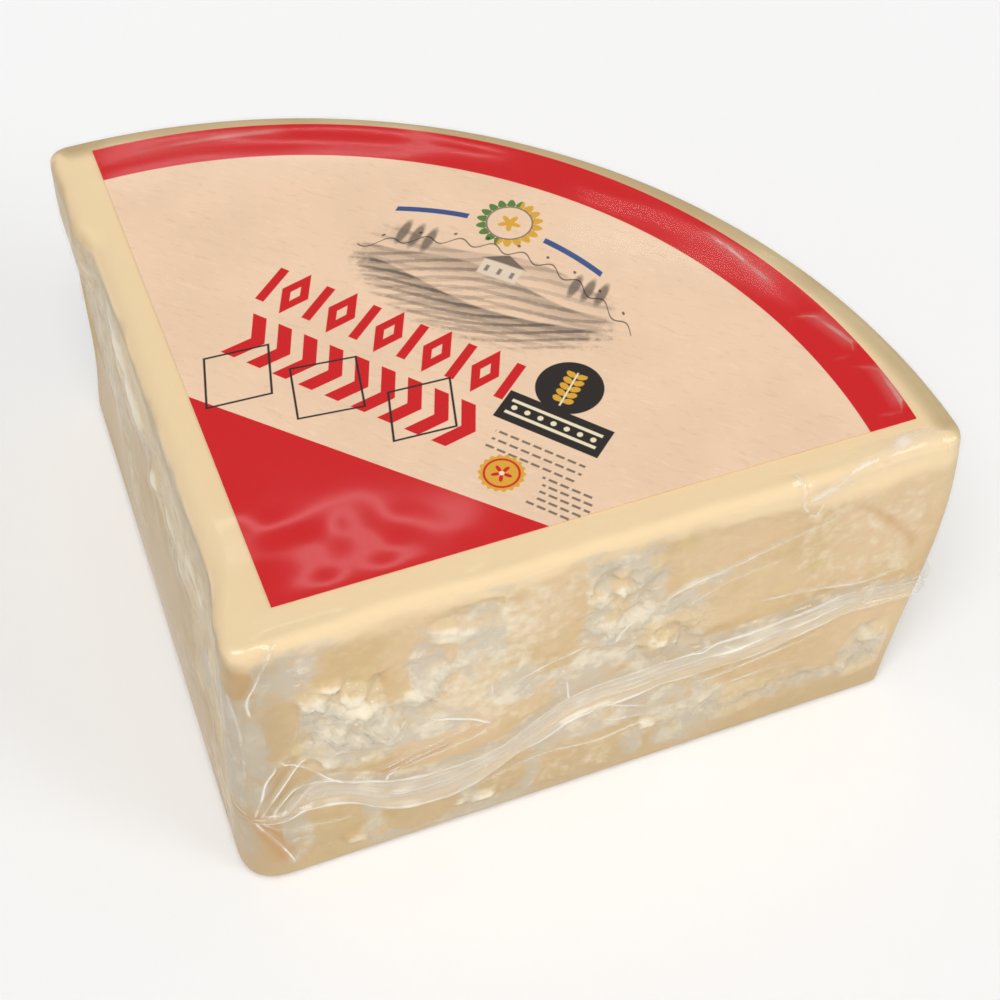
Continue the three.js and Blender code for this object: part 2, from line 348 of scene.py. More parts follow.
def plan(z):
    """Points and outward directions for a grid of heights, ROW_COUNT by COLUMNS."""
    point, outward = np.zeros(z.shape + (2,)), np.zeros(z.shape + (2,))
    for face, _ in RUNS:
        where, t = columns_of(face)
        h = np.clip(z[:, where, None] / HEIGHT, 0, 1)
        point[:, where], outward[:, where] = face_points(face, t[None, :, None], h)
    return point, outward


# %% [markdown]
# ## Rows that follow the pleat
# A sealed pack gathers its spare film in a strip, the pleat, which runs across the front cut at
# a changing height. On a plain grid its crests would cross the rows and come out as stairs. It
# could be a strip of its own laid on top, but then its ends would show. So the rows bend with
# it: some lie below the pleat, some within it and some above, and the rounded edge and the top
# get rows of their own. What differs from column to column is worked out first.

# %% Values for every column
SHARE = {face: columns_of(face)[1] for face, _ in RUNS}
TOP_EDGE_TIP, TOP_EDGE_FRONT, TOP_EDGE_RIM, TOP_EDGE_SIDE = 3.6, 4.5, 3.5, 6.5


def per_column(values):
    """Joins the values given for each face, in the order of the runs, into one for each column."""
    return np.concatenate([np.broadcast_to(values[face], count) for face, count in RUNS])


def top_edge_radii():
    lip = TOP_EDGE_RIM + 1
    side = mix(lip, TOP_EDGE_SIDE, smooth(SHARE["side"], 0, 0.2))
    return per_column({
        "front": mix(TOP_EDGE_TIP, TOP_EDGE_FRONT, smooth(SHARE["front"], 0, 0.1)),
        "front_end": mix(TOP_EDGE_FRONT, TOP_EDGE_RIM, SHARE["front_end"]),
        "rim": TOP_EDGE_RIM,
        "side_end": mix(TOP_EDGE_RIM, lip, SHARE["side_end"]),
        "side": mix(side, TOP_EDGE_TIP, smooth(SHARE["side"], 0.85, 1)),
        "tip": TOP_EDGE_TIP,
    })


# %% The pleat's course
# Its lower and upper edge, each as places across the front with the height there, in mm.
PLEAT_FOOT = (
    (-15, 37), (-8, 38), (0, 39), (11, 36), (22, 28), (36, 23), (52, 24),
    (74, 35), (88, 43), (118, 46), (155, 46), (190, 52), (212, 50),
)
PLEAT_TOP = (
    (-15, 41), (-8, 42), (2, 51), (16, 46), (29, 39), (52, 38), (66, 41),
    (87, 54), (118, 56), (155, 59), (186, 63), (212, 57),
)
PLEAT_AT_TIP, PLEAT_AT_END, PLEAT_ON_RIM = 0.8, 0.6, 0.3


def pleat_places():
    """Where on the pleat's tables a column reads its heights. Round the back they stay level."""
    near, far = TIP["top"][0], FRONT_END["top"][0]
    return per_column({
        "front": mix(near, far, SHARE["front"]),
        "front_end": far,
        "rim": far,
        "side_end": far,
        "side": mix(far, near, smooth(SHARE["side"], 0, 1)),
        "tip": near,
    })


def pleat_strengths():
    from_tip, to_end = smooth(SHARE["front"], 0, 0.15), smooth(SHARE["front"], 0.85, 1)
    return per_column({
        "front": mix(PLEAT_AT_TIP, 1, from_tip) * mix(1, PLEAT_AT_END, to_end),
        "front_end": mix(PLEAT_AT_END, PLEAT_ON_RIM, SHARE["front_end"]),
        "rim": PLEAT_ON_RIM,
        "side_end": PLEAT_ON_RIM * (1 - SHARE["side_end"]),
        "side": 0,
        "tip": PLEAT_AT_TIP * SHARE["tip"],
    })


PLEAT_LOW = through(PLEAT_FOOT, pleat_places())
PLEAT_HIGH = through(PLEAT_TOP, pleat_places())
print("pleat from", PLEAT_LOW.min().round(1), "to", PLEAT_HIGH.max().round(1), "mm up")

# %% Rows from the foot to the lid
FOOT_EDGE = 2.2
LID_CROWDING = 1.3
QUARTER = math.pi / 2


def make_rows():
    """For every row: its height, its inset, the tilt of the surface and the share of the lid."""
    edge = top_edge_radii()
    rows = []
    for k in range(ROWS["foot"]):
        rows.append((0, FOOT_EDGE, -QUARTER, (k + 1) / (ROWS["foot"] + 1)))
    for turn in np.arange(ROWS["foot_edge"]) / ROWS["foot_edge"] * QUARTER:
        rows.append((FOOT_EDGE * (1 - np.cos(turn)), FOOT_EDGE * (1 - np.sin(turn)), turn - QUARTER, 1))
    for part, low, high in (
        ("below", FOOT_EDGE, PLEAT_LOW),
        ("pleat", PLEAT_LOW, PLEAT_HIGH),
        ("above", PLEAT_HIGH, HEIGHT - edge),
    ):
        for share in np.arange(ROWS[part]) / ROWS[part]:
            rows.append((mix(low, high, share), 0, 0, 1))
    for turn in np.arange(ROWS["top_edge"]) / ROWS["top_edge"] * QUARTER:
        rows.append((HEIGHT - edge * (1 - np.sin(turn)), edge * (1 - np.cos(turn)), turn, 1))
    for share in np.arange(ROWS["top"] + 1) / (ROWS["top"] + 1):
        rows.append((HEIGHT, edge, QUARTER, 1 - share ** LID_CROWDING))
    return [np.array([np.broadcast_to(row[i], COLUMNS) for row in rows]) for i in range(4)]


# %% The hollow side cut and the lip of rind at its far end
LIP_HEIGHT, LIP_OVERHANG, LIP_REACH, LIP_FULL = 24.0, 4.0, 95.0, 25.0
LIP_EDGE, LIP_FADES_AT = 3.0, 34.0
SIDE_SET_IN, SIDE_SET_IN_SPAN, SIDE_SET_IN_RISE = 4.0, (0, 34, 162, 176), (24, 92)


def side_hollow(y, z):
    """How far the side is set in at a place along it and a height: under the lip, or in its middle."""
    start, full, full_end, end = SIDE_SET_IN_SPAN
    set_in = smooth(y, start, full) * (1 - smooth(y, full_end, end)) * smooth(z, *SIDE_SET_IN_RISE)
    far = SIDE_END["top"][1]
    lip_foot = HEIGHT - LIP_HEIGHT
    under_lip = 1 - smooth(z, lip_foot - LIP_EDGE, lip_foot + LIP_EDGE)
    lip = smooth(y, far - LIP_REACH, far - LIP_FULL) * under_lip * smooth(z, 0, LIP_FADES_AT)
    return np.maximum(LIP_OVERHANG * lip, SIDE_SET_IN * set_in)


def set_in_side():
    """How far the hollow side is set in, over the whole grid."""
    depth = np.zeros(Z.shape)
    for face in ("side", "side_end"):
        where, t = columns_of(face)
        share = 1 if face == "side" else t
        depth[:, where] = side_hollow(PLAN[:, where, 1], Z[:, where]) * share
    return depth


# %% The grid
Z, INSET, TILT, SCALE = make_rows()
PLAN, OUTWARD = plan(Z)
CENTRE = np.array([LABEL_RADIUS / 3, LABEL_RADIUS / 3])
FLAT = mix(CENTRE, PLAN - OUTWARD * (INSET + set_in_side())[..., None], SCALE[..., None])
SURFACE = np.concatenate([FLAT, Z[..., None]], -1)
NORMAL = np.concatenate([OUTWARD * np.cos(TILT)[..., None], np.sin(TILT)[..., None]], -1)
PLEAT_V = (Z - PLEAT_LOW) / (PLEAT_HIGH - PLEAT_LOW)
INWARD = np.hypot(*np.moveaxis(FLAT - PLAN, -1, 0)) * (TILT > 0)
UNROLLED = Z + INWARD
print("grid", SURFACE.shape, "from", SURFACE.min((0, 1)).round(1), "to", SURFACE.max((0, 1)).round(1))

# %% [markdown]
# ## Relief of a hard cheese
# Aged cheese doesn't cut clean. It breaks along its grain into tilted facets, deep in some
# patches and hardly at all in others, while a lens of smooth paste stays between them. A
# cellular pattern gives each cell one tilt and one height, which is just that. Three sizes of
# cell are added up: lumps, flakes and bits. Random numbers come from a formula of the cell's
# place, so every run breaks the cheese in the same way.

# %% Where the cheese is broken
# Each patch: its middle along the face and up, half its width and height, and its depth, in mm.
FRONT_CRAGS = (
    (22, 74, 24, 26, 3.8), (46, 80, 11, 15, 3.4), (106, 92, 17, 24, 3.8), (126, 68, 20, 13, 3.0),
    (194, 24, 14, 17, 3.2), (40, 10, 36, 9, 2.2), (140, 20, 42, 13, 2.4), (60, 106, 26, 9, 2.0),
)
# Smooth paste within them has no depth of its own.
FRONT_FLAT = (
    (30, 103, 15, 13), (37, 85, 5, 10), (3, 82, 6, 15), (55, 74, 5, 7), (84, 98, 14, 22),
    (16, 19, 8, 9), (43, 14, 12, 11), (70, 19, 7, 10), (101, 12, 8, 9), (170, 78, 36, 22),
    (165, 34, 26, 10), (140, 105, 24, 8),
)
SIDE_CRAGS = (
    (128, 94, 36, 22, 3.0), (88, 84, 28, 24, 2.8), (40, 70, 32, 36, 2.6), (170, 60, 28, 32, 2.2),
    (20, 24, 26, 18, 2.0),
)
FRONT_KNOBS = (
    (44, 80, 5, 9, 2.4), (20, 70, 4, 4, 1.6), (11, 105, 3, 4, 1.2), (17, 87, 6, 8, 1.8),
    (28, 66, 7, 10, 2.2), (107, 100, 6, 8, 2.0), (101, 81, 6, 6, 1.8), (120, 66, 6, 5, 1.4),
    (132, 60, 5, 4, 1.4), (190, 22, 5, 5, 1.2), (96, 112, 4, 3, 1.0),
)
SIDE_KNOBS = ((118, 92, 16, 5, 2.4), (96, 80, 18, 6, 2.2), (138, 100, 12, 4, 1.6), (64, 74, 12, 7, 1.8))
print(len(FRONT_CRAGS + SIDE_CRAGS), "broken patches,", len(FRONT_KNOBS + SIDE_KNOBS), "knobs")


# %% Random values, soft noise and facets
FACET_TILT = 1.6


def scatter(i, j, seed):
    wave = np.sin(i * 127.1 + j * 311.7 + seed * 74.7) * 43758.5453
    return wave - np.floor(wave)


def soft_noise(u, v, seed):
    i, j = np.floor(u), np.floor(v)
    s, t = smooth(u - i, 0, 1), smooth(v - j, 0, 1)
    low = mix(scatter(i, j, seed), scatter(i + 1, j, seed), s)
    high = mix(scatter(i, j + 1, seed), scatter(i + 1, j + 1, seed), s)
    return mix(low, high, t) * 2 - 1


def facet(u, v, seed, blend):
    """Every point takes the tilted height of the nearest cell and blends to the next nearest."""
    away, height = [], []
    for di in (-1, 0, 1):
        for dj in (-1, 0, 1):
            i, j = np.floor(u) + di, np.floor(v) + dj
            du, dv = u - i - scatter(i, j, seed), v - j - scatter(i, j, seed + 1)
            tilt = (scatter(i, j, seed + 2) - 0.5) * du + (scatter(i, j, seed + 3) - 0.5) * dv
            away.append(np.hypot(du, dv))
            height.append(scatter(i, j, seed + 4) - 0.6 + FACET_TILT * tilt)
    order = np.argsort(away, axis=0)[:2]
    near, far = np.take_along_axis(np.array(away), order, 0)
    first, second = np.take_along_axis(np.array(height), order, 0)
    return mix(first, second, 0.5 * (1 - smooth(far - near, 0, blend)))


def patches(table, along, z, ragged):
    """The strongest of the patches at each point, with ragged edges. Without a depth it counts 1."""
    strongest = np.zeros(np.broadcast(along, z).shape)
    for centre, height, half_width, half_height, *strength in table:
        reach = np.hypot((along - centre) / half_width, (z - height) / half_height) + ragged
        strongest = np.maximum(strongest, sum(strength or [1]) * (1 - smooth(reach, 0.55, 1.15)))
    return strongest


# %% Relief of one cut face
# Lumps, flakes and bits: width and height of a cell, how far it stands out, its blend and its seed.
FACETS = ((9.5, 9.5, 1, 0.3, 0), (4.3, 3.7, 0.36, 0.22, 60), (2.2, 1.9, 0.12, 0.3, 70))
FACE_WAVE, FACE_WAVE_LENGTH = 0.9, 34
GRAIN, GRAIN_LENGTH = 0.12, 1.7
FULLY_BROKEN = 3.5


def smoothed(height):
    """Every point takes the mean of its four neighbours."""
    across = (np.roll(height, 1, 1) + np.roll(height, -1, 1)) / 2
    up = height.copy()
    up[1:-1] = (height[:-2] + height[2:]) / 2
    return (across + up) / 2


def broken(crag_table, knob_table, flat_table, along, z, seed):
    """Relief in mm outwards, and from 0 to 1 how broken each point is."""
    ragged = 0.22 * soft_noise(along / 7, z / 7, seed + 50)
    depth = patches(crag_table, along, z, ragged)
    depth = depth * (1 - patches(flat_table, along, z, ragged))
    height = sum(
        tall * depth * facet(along / wide, z / high, seed + shift, blend)
        for wide, high, tall, blend, shift in FACETS
    )
    knobs = patches(knob_table, along, z, ragged)
    knobs = knobs * (0.75 + 0.8 * facet(along / 3.6, z / 3.2, seed + 80, 0.12))
    wave = FACE_WAVE * soft_noise(along / FACE_WAVE_LENGTH, z / FACE_WAVE_LENGTH, seed + 9)
    grain = GRAIN * soft_noise(along / GRAIN_LENGTH, z / GRAIN_LENGTH, seed + 90)
    return height + knobs + wave + grain, np.clip(depth / FULLY_BROKEN, 0, 1)


# %% Relief of the whole pack
EDGE_WAVE, EDGE_WAVE_LENGTH, EDGE_WAVE_FROM, EDGE_WAVE_FULL = 0.55, 17, 16, 7
SIDE_SOFTENING = 4


def edge_waves(along, z):
    """The top edge and the strip of rind under it aren't quite even."""
    near_edge = smooth(z, HEIGHT - EDGE_WAVE_FROM, HEIGHT - EDGE_WAVE_FULL)
    wave = soft_noise(along / EDGE_WAVE_LENGTH, z / EDGE_WAVE_LENGTH, 171)
    return EDGE_WAVE * near_edge * (wave + 0.5 * soft_noise(along / 7, z / 9, 173))


def between_corners(share):
    return smooth(share, 0, 0.04) * (1 - smooth(share, 0.96, 1))


def shape_relief():
    """Relief of the break and brokenness, for the whole grid."""
    relief, crag = np.zeros(Z.shape), np.zeros(Z.shape)
    fade = smooth(Z, FOOT_EDGE, FOOT_EDGE + 8) * (1 - smooth(Z, HEIGHT - 12, HEIGHT - 5))
    for face, axis, crag_table, knob_table, flat_table, seed in (
        ("front", 0, FRONT_CRAGS, FRONT_KNOBS, FRONT_FLAT, 3),
        ("side", 1, SIDE_CRAGS, SIDE_KNOBS, (), 23),
    ):
        where, share = columns_of(face)
        along = PLAN[:, where, axis]
        height, crag[:, where] = broken(crag_table, knob_table, flat_table, along, Z[:, where], seed)
        for _ in range(SIDE_SOFTENING if face == "side" else 0):
            height = smoothed(height)
        waves = edge_waves(along, Z[:, where]) * (1 - smooth(INWARD[:, where], 1, 6))
        relief[:, where] = (height * fade[:, where] + waves) * between_corners(share)
    where, share = columns_of("rim")
    rind = soft_noise(share * 9 + 0 * Z[:, where], Z[:, where] / FACE_WAVE_LENGTH, 41)
    relief[:, where] = FACE_WAVE * rind * fade[:, where] * between_corners(share)
    return relief, crag * fade


RELIEF, CRAG = shape_relief()
print("relief from", RELIEF.min().round(1), "to", RELIEF.max().round(1), "mm")

# %% [markdown]
# ## From drum to chunk
# The drum is a closed cylinder with as many sides as there are columns. Its upright edges are
# then cut into rows, which is many times faster here than a spin of so many steps. Last,
# every vertex is sent to its place in the grid worked out above. A drum keeps the mesh closed
# and tidy however far it is bent, and its columns run straight up the cut faces.

# %% Drum
def piece_of(made, name):
    """Turns a finished bmesh into an object of the scene."""
    mesh = bpy.data.meshes.new(name)
    made.to_mesh(mesh)
    made.free()
    piece = bpy.data.objects.new(name, mesh)
    bpy.context.scene.collection.objects.link(piece)
    return piece


def drum_of_rows():
    """A closed drum, one high and one in radius, with a ring of vertices for each row."""
    made = bmesh.new()
    bmesh.ops.create_cone(
        made, segments=COLUMNS, radius1=1, radius2=1, depth=1, cap_ends=True, cap_tris=True,
    )
    upright = [edge for edge in made.edges if abs(edge.verts[0].co.z - edge.verts[1].co.z) > 0.5]
    bmesh.ops.subdivide_edges(made, edges=upright, cuts=ROW_COUNT - 2, use_grid_fill=True)
    bmesh.ops.recalc_face_normals(made, faces=made.faces)
    return made


# %% A skin laid on the grid
def skin(name, places, attributes):
    """A closed skin whose grid points lie at the given places, mm from the wheel's axis."""
    piece = piece_of(drum_of_rows(), name)
    mesh = piece.data
    flat = np.empty(len(mesh.vertices) * 3)
    mesh.vertices.foreach_get("co", flat)
    x, y, height = flat.reshape(-1, 3).T
    row = np.round((height + 0.5) * (ROW_COUNT - 1)).astype(int)
    column = np.round(np.arctan2(-x, y) / (2 * np.pi) * COLUMNS).astype(int) % COLUMNS
    place = places[row, column]
    pole = np.hypot(x, y) < 0.5
    for end in (0, ROW_COUNT - 1):
        place[pole & (row == end)] = places[end].mean(0)
    place = (place + (*AXIS, 0)) * MM
    mesh.vertices.foreach_set("co", place.ravel())
    mesh.polygons.foreach_set("use_smooth", np.ones(len(mesh.polygons), bool))
    mesh.update()
    for key, values in attributes.items():
        layer = mesh.attributes.new(key, "FLOAT", "POINT")
        layer.data.foreach_set("value", values[row, column].astype(np.float32))
    print(name, len(mesh.vertices), "vertices,", len(mesh.polygons), "faces")
    return piece


# %% [markdown]
# ## Noise and lines on the grid
# What lies where on cheese and film is worked out on the grid, and their meshes carry it as
# attributes. Clouds come from noise in several sizes. A crease needs more care: it is thinner
# than a face, so drawn into the vertices alone it would look dashed. Instead each point stores
# how far it is from the line, with a sign for the line's two sides. Such a distance changes
# evenly over a face, so a shader finds the place where it is zero very sharply.

# %% Clouds of noise, and a coordinate along the faces
def cloud(u, v, seed, octaves=3):
    """Soft noise in several sizes, from about -1 to 1."""
    total = np.zeros(np.broadcast(u, v).shape)
    for k in range(octaves):
        total += soft_noise(u * 2 ** k, v * 2 ** k, seed + 5 * k) / 2 ** k
    return total / 1.6


def along_face():
    """One coordinate that runs round the chunk: X on the front, Y on the side."""
    faces_front = np.abs(OUTWARD[..., 1]) > np.abs(OUTWARD[..., 0])
    return np.where(faces_front, PLAN[..., 0], PLAN[..., 1])


# %% Lines drawn on a face
ROUNDING_STEPS = 5


def line_field(along, z, points):
    """Distance in mm from a line of points, signed by its two sides, and the share of its length."""
    away, share_there = np.full(along.shape, 1e3), np.zeros(along.shape)
    for k, (start, end) in enumerate(zip(points, points[1:])):
        run = np.subtract(end, start).astype(float)
        right, up = along - start[0], z - start[1]
        share = np.clip((right * run[0] + up * run[1]) / (run @ run), 0, 1)
        sense = np.where(run[0] * up > run[1] * right, 1, -1)
        here = sense * np.hypot(right - share * run[0], up - share * run[1])
        nearer = np.abs(here) < np.abs(away)
        away = np.where(nearer, here, away)
        share_there = np.where(nearer, (k + share) / (len(points) - 1), share_there)
    return away, share_there


def fading_ends(share):
    return smooth(share, 0, 0.12) * (1 - smooth(share, 0.85, 1))


def rounded(points):
    """The same line with its corners rounded off."""
    points = np.array(points, float)
    nodes = np.arange(len(points))
    places = np.linspace(0, len(points) - 1, ROUNDING_STEPS * (len(points) - 1) + 1)
    return np.stack([through(np.stack([nodes, axis], -1), places) for axis in points.T], -1)


# %% [markdown]
# ## Film
# Shrink film lies tight on what stands out and spans the hollows like a drum skin. The film
# starts as a copy of the cheese's relief. It is then smoothed over and over, and lifted back
# wherever it would sink into the cheese. What is left is the taut sheet over the high points.
# A cloth simulation would come to the same form, in minutes instead of a second.

# %% Taut film
TAUT_ROUNDS = 60
SAG = 0.02


def taut(under):
    """The height of a sheet that spans the hollows of what lies under it."""
    height = under.copy()
    for _ in range(TAUT_ROUNDS):
        height = np.maximum(under, smoothed(height) - SAG)
    return height


SHEET = taut(RELIEF)
GAP = SHEET - RELIEF
print("film spans hollows up to", GAP.max().round(1), "mm deep")

# %% [markdown]
# ## Pleat and folds
# The sealing machine leaves the film gathered in the pleat, with thin folds that run out from its ends. A
# simulation would put such folds anywhere, so here each fold is a line of a few points, with the height and
# the width of its ridge, and the shader paints a highlight along its crest. On the front cut a point is
# given along the cut and up, going on over the rounded edge. A point of the grid keeps only the nearest
# fold of a group, so folds that cross or lie close are put in different groups. The painted glints on the
# lid get no ridge, as the mesh is too coarse there: the shader alone draws them.

# %% Named folds on the front cut
# Each fold: its points, the height of its ridge and its half width, in mm. A painted highlight runs along
# each crest. The three shortest are painted glints on knobs, and the two widest near the top edge are a
# painted glare.
FOLDS = (
    (
        (
            (
                (66, 67), (80, 74), (93, 76), (102, 77), (113, 83), (123, 89), (141, 93), (158, 99),
                (182, 104),
            ),
            1.0,
            1.2,
        ),
        (((29, 45), (40, 50), (50, 53), (60, 55)), 1.5, 1.1),
        (((-9, 38), (-6, 50), (-4, 59), (0, 65)), 1.3, 1.2),
        (((-8, 38), (-8, 35), (-4, 26), (0, 14), (1, 8)), 1.1, 1.2),
        (((158, 129), (160, 121), (160, 114), (163, 108)), 0.7, 1.4),
        (((98, 34), (122, 30), (150, 33), (172, 30)), 0.9, 1.3),
        (((-11, 108), (-9, 88), (-9, 70), (-10, 54)), 0.6, 1.5),
        # painted glints on knobs
        (((18, 72), (20, 71), (22, 71)), 0.9, 1.0),
        (((64, 67), (65, 70), (65, 74)), 0.9, 1.0),
    ),
    (
        (((124, 79), (141, 86), (159, 90)), 0.8, 1.1),
        (((27, 41), (40, 44), (56, 47), (66, 51)), 0.9, 1.0),
        (((-8, 38), (-2, 50), (6, 62), (9, 64)), 1.3, 1.2),
        (((44, 66), (52, 63), (60, 58), (66, 52)), 1.2, 1.4),
        (((4, 124), (0, 115), (-3, 108), (-6, 100), (-5, 88)), 1.0, 1.2),
        # a painted glare along the top edge at the right end
        (((160, 115), (170, 118), (178, 122), (188, 124)), 0.9, 3.6),
        (((182, 122), (194, 126), (206, 130), (220, 132)), 1.0, 5.6),
        (((100, 44), (108, 39), (118, 34)), 1.1, 1.2),
        (((60, 20), (80, 26), (104, 24), (128, 30)), 0.8, 1.4),
        # a painted glint on a knob
        (((36, 66), (37, 67), (39, 68)), 0.9, 1.0),
        (((150, 71), (166, 70), (184, 66), (198, 66)), 0.8, 1.2),
    ),
    (
        (((-6, 38), (4, 50), (14, 51), (22, 44)), 1.2, 1.1),
        (((0, 67), (8, 59), (18, 48)), 1.2, 1.1),
        (((32, 43), (42, 47), (54, 50)), 1.0, 1.0),
        (((87, 71), (89, 62), (89, 51)), 0.9, 1.0),
        (((162, 108), (165, 107), (167, 112)), 0.6, 1.4),
        (((-8, 37), (-1, 30), (10, 26), (22, 24)), 0.9, 1.2),
        (((132, 38), (150, 40), (176, 43)), 0.8, 1.2),
    ),
)
print(sum(len(group) for group in FOLDS), "folds in", len(FOLDS), "groups")

# %% Ribs of the pleat
# How high each rib stands, and how strong the painted highlight along its crest is.
PLEAT_RIBS = (2.6, 1.1, 1.7, 1.1, 2.6)
PLEAT_SHINE = (1.0, 0.6, 0.85, 0.6, 1.0)
MAIN_RIB = 2
PLEAT_TENT = 0.9


def pleat_ridges(along):
    """The gathered strip: five ribs with sharp crests that wander a little, over a low tent."""
    tall, shine = np.zeros(Z.shape), np.zeros(Z.shape)
    wander = 0.05 * soft_noise(along / 17, PLEAT_V * 3, 61)
    for k, (rib, bright) in enumerate(zip(PLEAT_RIBS, PLEAT_SHINE)):
        v = PLEAT_V + wander - k / (len(PLEAT_RIBS) - 1)
        swell = 0.85 + 0.3 * soft_noise(along / 12, 0 * Z + k, 71 + k)
        if rib < MAIN_RIB:
            swell = swell * (0.7 + 0.5 * soft_noise(along / 27, 0 * Z + k, 77 + k))
        tall = np.maximum(tall, rib * swell * np.exp(-np.abs(v / 0.08) ** 1.6))
        shine = np.maximum(shine, bright * swell * np.exp(-np.abs(v / 0.12) ** 4))
    tent = PLEAT_TENT * smooth(PLEAT_V, -0.35, 0.05) * (1 - smooth(PLEAT_V, 0.95, 1.5))
    return tall, {"rib": (PLEAT_V + wander) * (len(PLEAT_RIBS) - 1), "rib_shine": shine}, tent


# %% Ridges along folds
# How tall a fold is before its painted highlight is full, and how far the painted glow beside it reaches,
# in widths.
FULLY_BRIGHT = 1.2
GLOW_REACH = 2.5


def fold_ridges(folds, part, across, up):
    """For folds on one part of the grid: height, signed distance in widths of a fold, and the strength of
    the painted highlight along it.
    """
    tall, away, shine = np.zeros(Z.shape), np.full(Z.shape, GLOW_REACH), np.zeros(Z.shape)
    for points, height, width in folds:
        here, share = line_field(across[part], up[part], rounded(points))
        ends = fading_ends(share)
        tall[part] = np.maximum(tall[part], height * ends * np.exp(-(here / width) ** 2))
        glow = min(height / FULLY_BRIGHT, 1) * ends * np.exp(-(here / (GLOW_REACH * width)) ** 2)
        away[part] = np.where(glow > shine[part], here / width, away[part])
        shine[part] = np.maximum(glow, shine[part])
    return tall, away, shine


def near_cuts():
    """1 on the upright faces and just over their top edge, 0 on the rest of the top and underneath."""
    return (1 - smooth(INWARD, 8, 12)) * np.cos(np.minimum(TILT, 0))


# %% Painted glints on the lid, just inside the label's rim
# Each is a painted highlight drawn along a line: from one angle about the label's corner to another, in
# degrees, then how far each end lies in from the rim, and how strong the glint is.
PAINTED_RIM_GLINTS = ((88, 71, 6, 4, 0.35), (29, 19, 3, 6, 0.55), (15, 9, 4, 2, 0.5), (7, 1, 1, 2, 0.6))
PAINTED_GLINT_WIDTH = 2.4
LID_WANDER = 1.1


def painted_rim_glints():
    folds = []
    for start, end, inset, end_inset, strength in PAINTED_RIM_GLINTS:
        away = LABEL_RADIUS - np.linspace(inset, end_inset, 5)
        angle = np.radians(np.linspace(start, end, 5))
        points = np.stack([away * np.cos(angle), away * np.sin(angle)], -1)
        folds.append((points, strength, PAINTED_GLINT_WIDTH))
    return folds


def on_label():
    """Where each point of the grid lies from the label's corner."""
    return np.moveaxis(FLAT - LABEL_CORNER, -1, 0)


# %% All folds together
ON_FRONT = np.s_[:, np.r_[columns_of("front")[0], columns_of("tip")[0]]]
ON_LID = np.s_[-ROWS["top"]:]


def fold_film():
    """Heights of the folds, of the tent under the pleat, and what the shader draws lines from."""
    tall, lines, tent = pleat_ridges(along_face())
    strength, on_cuts = pleat_strengths(), near_cuts()
    ridge = tall * strength * np.cos(TILT)
    lines["rib_shine"] = lines["rib_shine"] * strength ** 2 * np.cos(TILT)
    for k, folds in enumerate(FOLDS):
        tall, lines[f"fold_{k}"], shine = fold_ridges(folds, ON_FRONT, PLAN[..., 0], UNROLLED)
        ridge = np.maximum(ridge, tall)
        lines[f"shine_{k}"] = shine * on_cuts
    x, y = on_label()
    wander = [LID_WANDER * cloud(x / 15, y / 15, seed, 2) for seed in (181, 183)]
    here = painted_rim_glints(), ON_LID, x + wander[0], y + wander[1]
    _, lines["fold_lid"], lines["shine_lid"] = fold_ridges(*here)
    return ridge * on_cuts, tent * strength, lines


RIDGE, TENT, LINES = fold_film()
print("tallest fold", RIDGE.max().round(2), "mm; lines from", sorted(LINES))

# %% [markdown]
# ## Milky places
# Where film has come off the cheese, a little air and moisture lie behind it and the pack looks
# milky there. Those are the hollows that the taut film spans, the pleat, and some patches that
# are named here with their middle, half their size and their strength. One value for both skins
# keeps them together: the milk shows mostly on the cheese, and as a thin veil on the film.

# %% Where the film is milky
FRONT_HAZE = (
    (-8, 80, 8, 34), (5, 104, 13, 16), (14, 76, 8, 18), (31, 66, 20, 20), (46, 90, 8, 18),
    (62, 92, 10, 20), (74, 67, 13, 9), (47, 60, 16, 8), (96, 64, 20, 12), (97, 92, 6, 18),
    (114, 95, 7, 18), (105, 110, 14, 5), (104, 76, 13, 8), (122, 80, 14, 7), (146, 88, 24, 3),
    (2, 25, 9, 15), (26, 16, 4, 14), (57, 18, 4, 14), (77, 16, 5, 12), (102, 33, 34, 10),
    (112, 14, 5, 10), (132, 20, 15, 18), (165, 17, 34, 4), (193, 23, 10, 10), (60, 5, 40, 3),
    (193, 74, 3, 6), (120, 60, 16, 6), (190, 55, 14, 4), (205, 124, 10, 4, 0.3),
    (172, 118, 12, 3, 0.3), (90, 116, 40, 3, 0.5), (12, 116, 10, 4, 0.5), (148, 88, 26, 7, 0.5),
)
TIP_HAZE = ((-10, 84, 12, 18), (-9, 66, 9, 18), (-10, 50, 8, 14), (-12, 24, 6, 12, 0.6))
SIDE_HAZE = (
    (150, 66, 20, 5, 0.4), (118, 78, 16, 4, 0.5), (86, 62, 18, 5, 0.5), (60, 90, 14, 5, 0.5),
    (40, 56, 16, 7, 0.6), (22, 84, 10, 18, 0.7), (70, 30, 26, 6, 0.4), (120, 30, 22, 5, 0.4),
    (4, 40, 12, 34, 0.9),
    (150, 112, 40, 8, 0.5), (70, 114, 50, 9, 0.6), (20, 112, 16, 10, 0.5),
)
FROM_GAP, FROM_PLEAT, MILKY_FROM, MILKY_FULL = 0.7, 0.9, 0.4, 2.2


def veil():
    """Named places where the film has come off the cheese, less those where it clings, 0 to 1."""
    loose = np.zeros(Z.shape)
    for face, axis, hazy, flat in (
        ("front", 0, FRONT_HAZE, FRONT_FLAT), ("tip", 0, TIP_HAZE, ()), ("side", 1, SIDE_HAZE, ()),
    ):
        where, _ = columns_of(face)
        along, z = PLAN[:, where, axis], UNROLLED[:, where]
        ragged = 0.4 * cloud(along / 9, z / 9, 121, 2)
        loose[:, where] = patches(hazy, along, z, ragged) * (1 - patches(flat, along, z, ragged))
    return loose


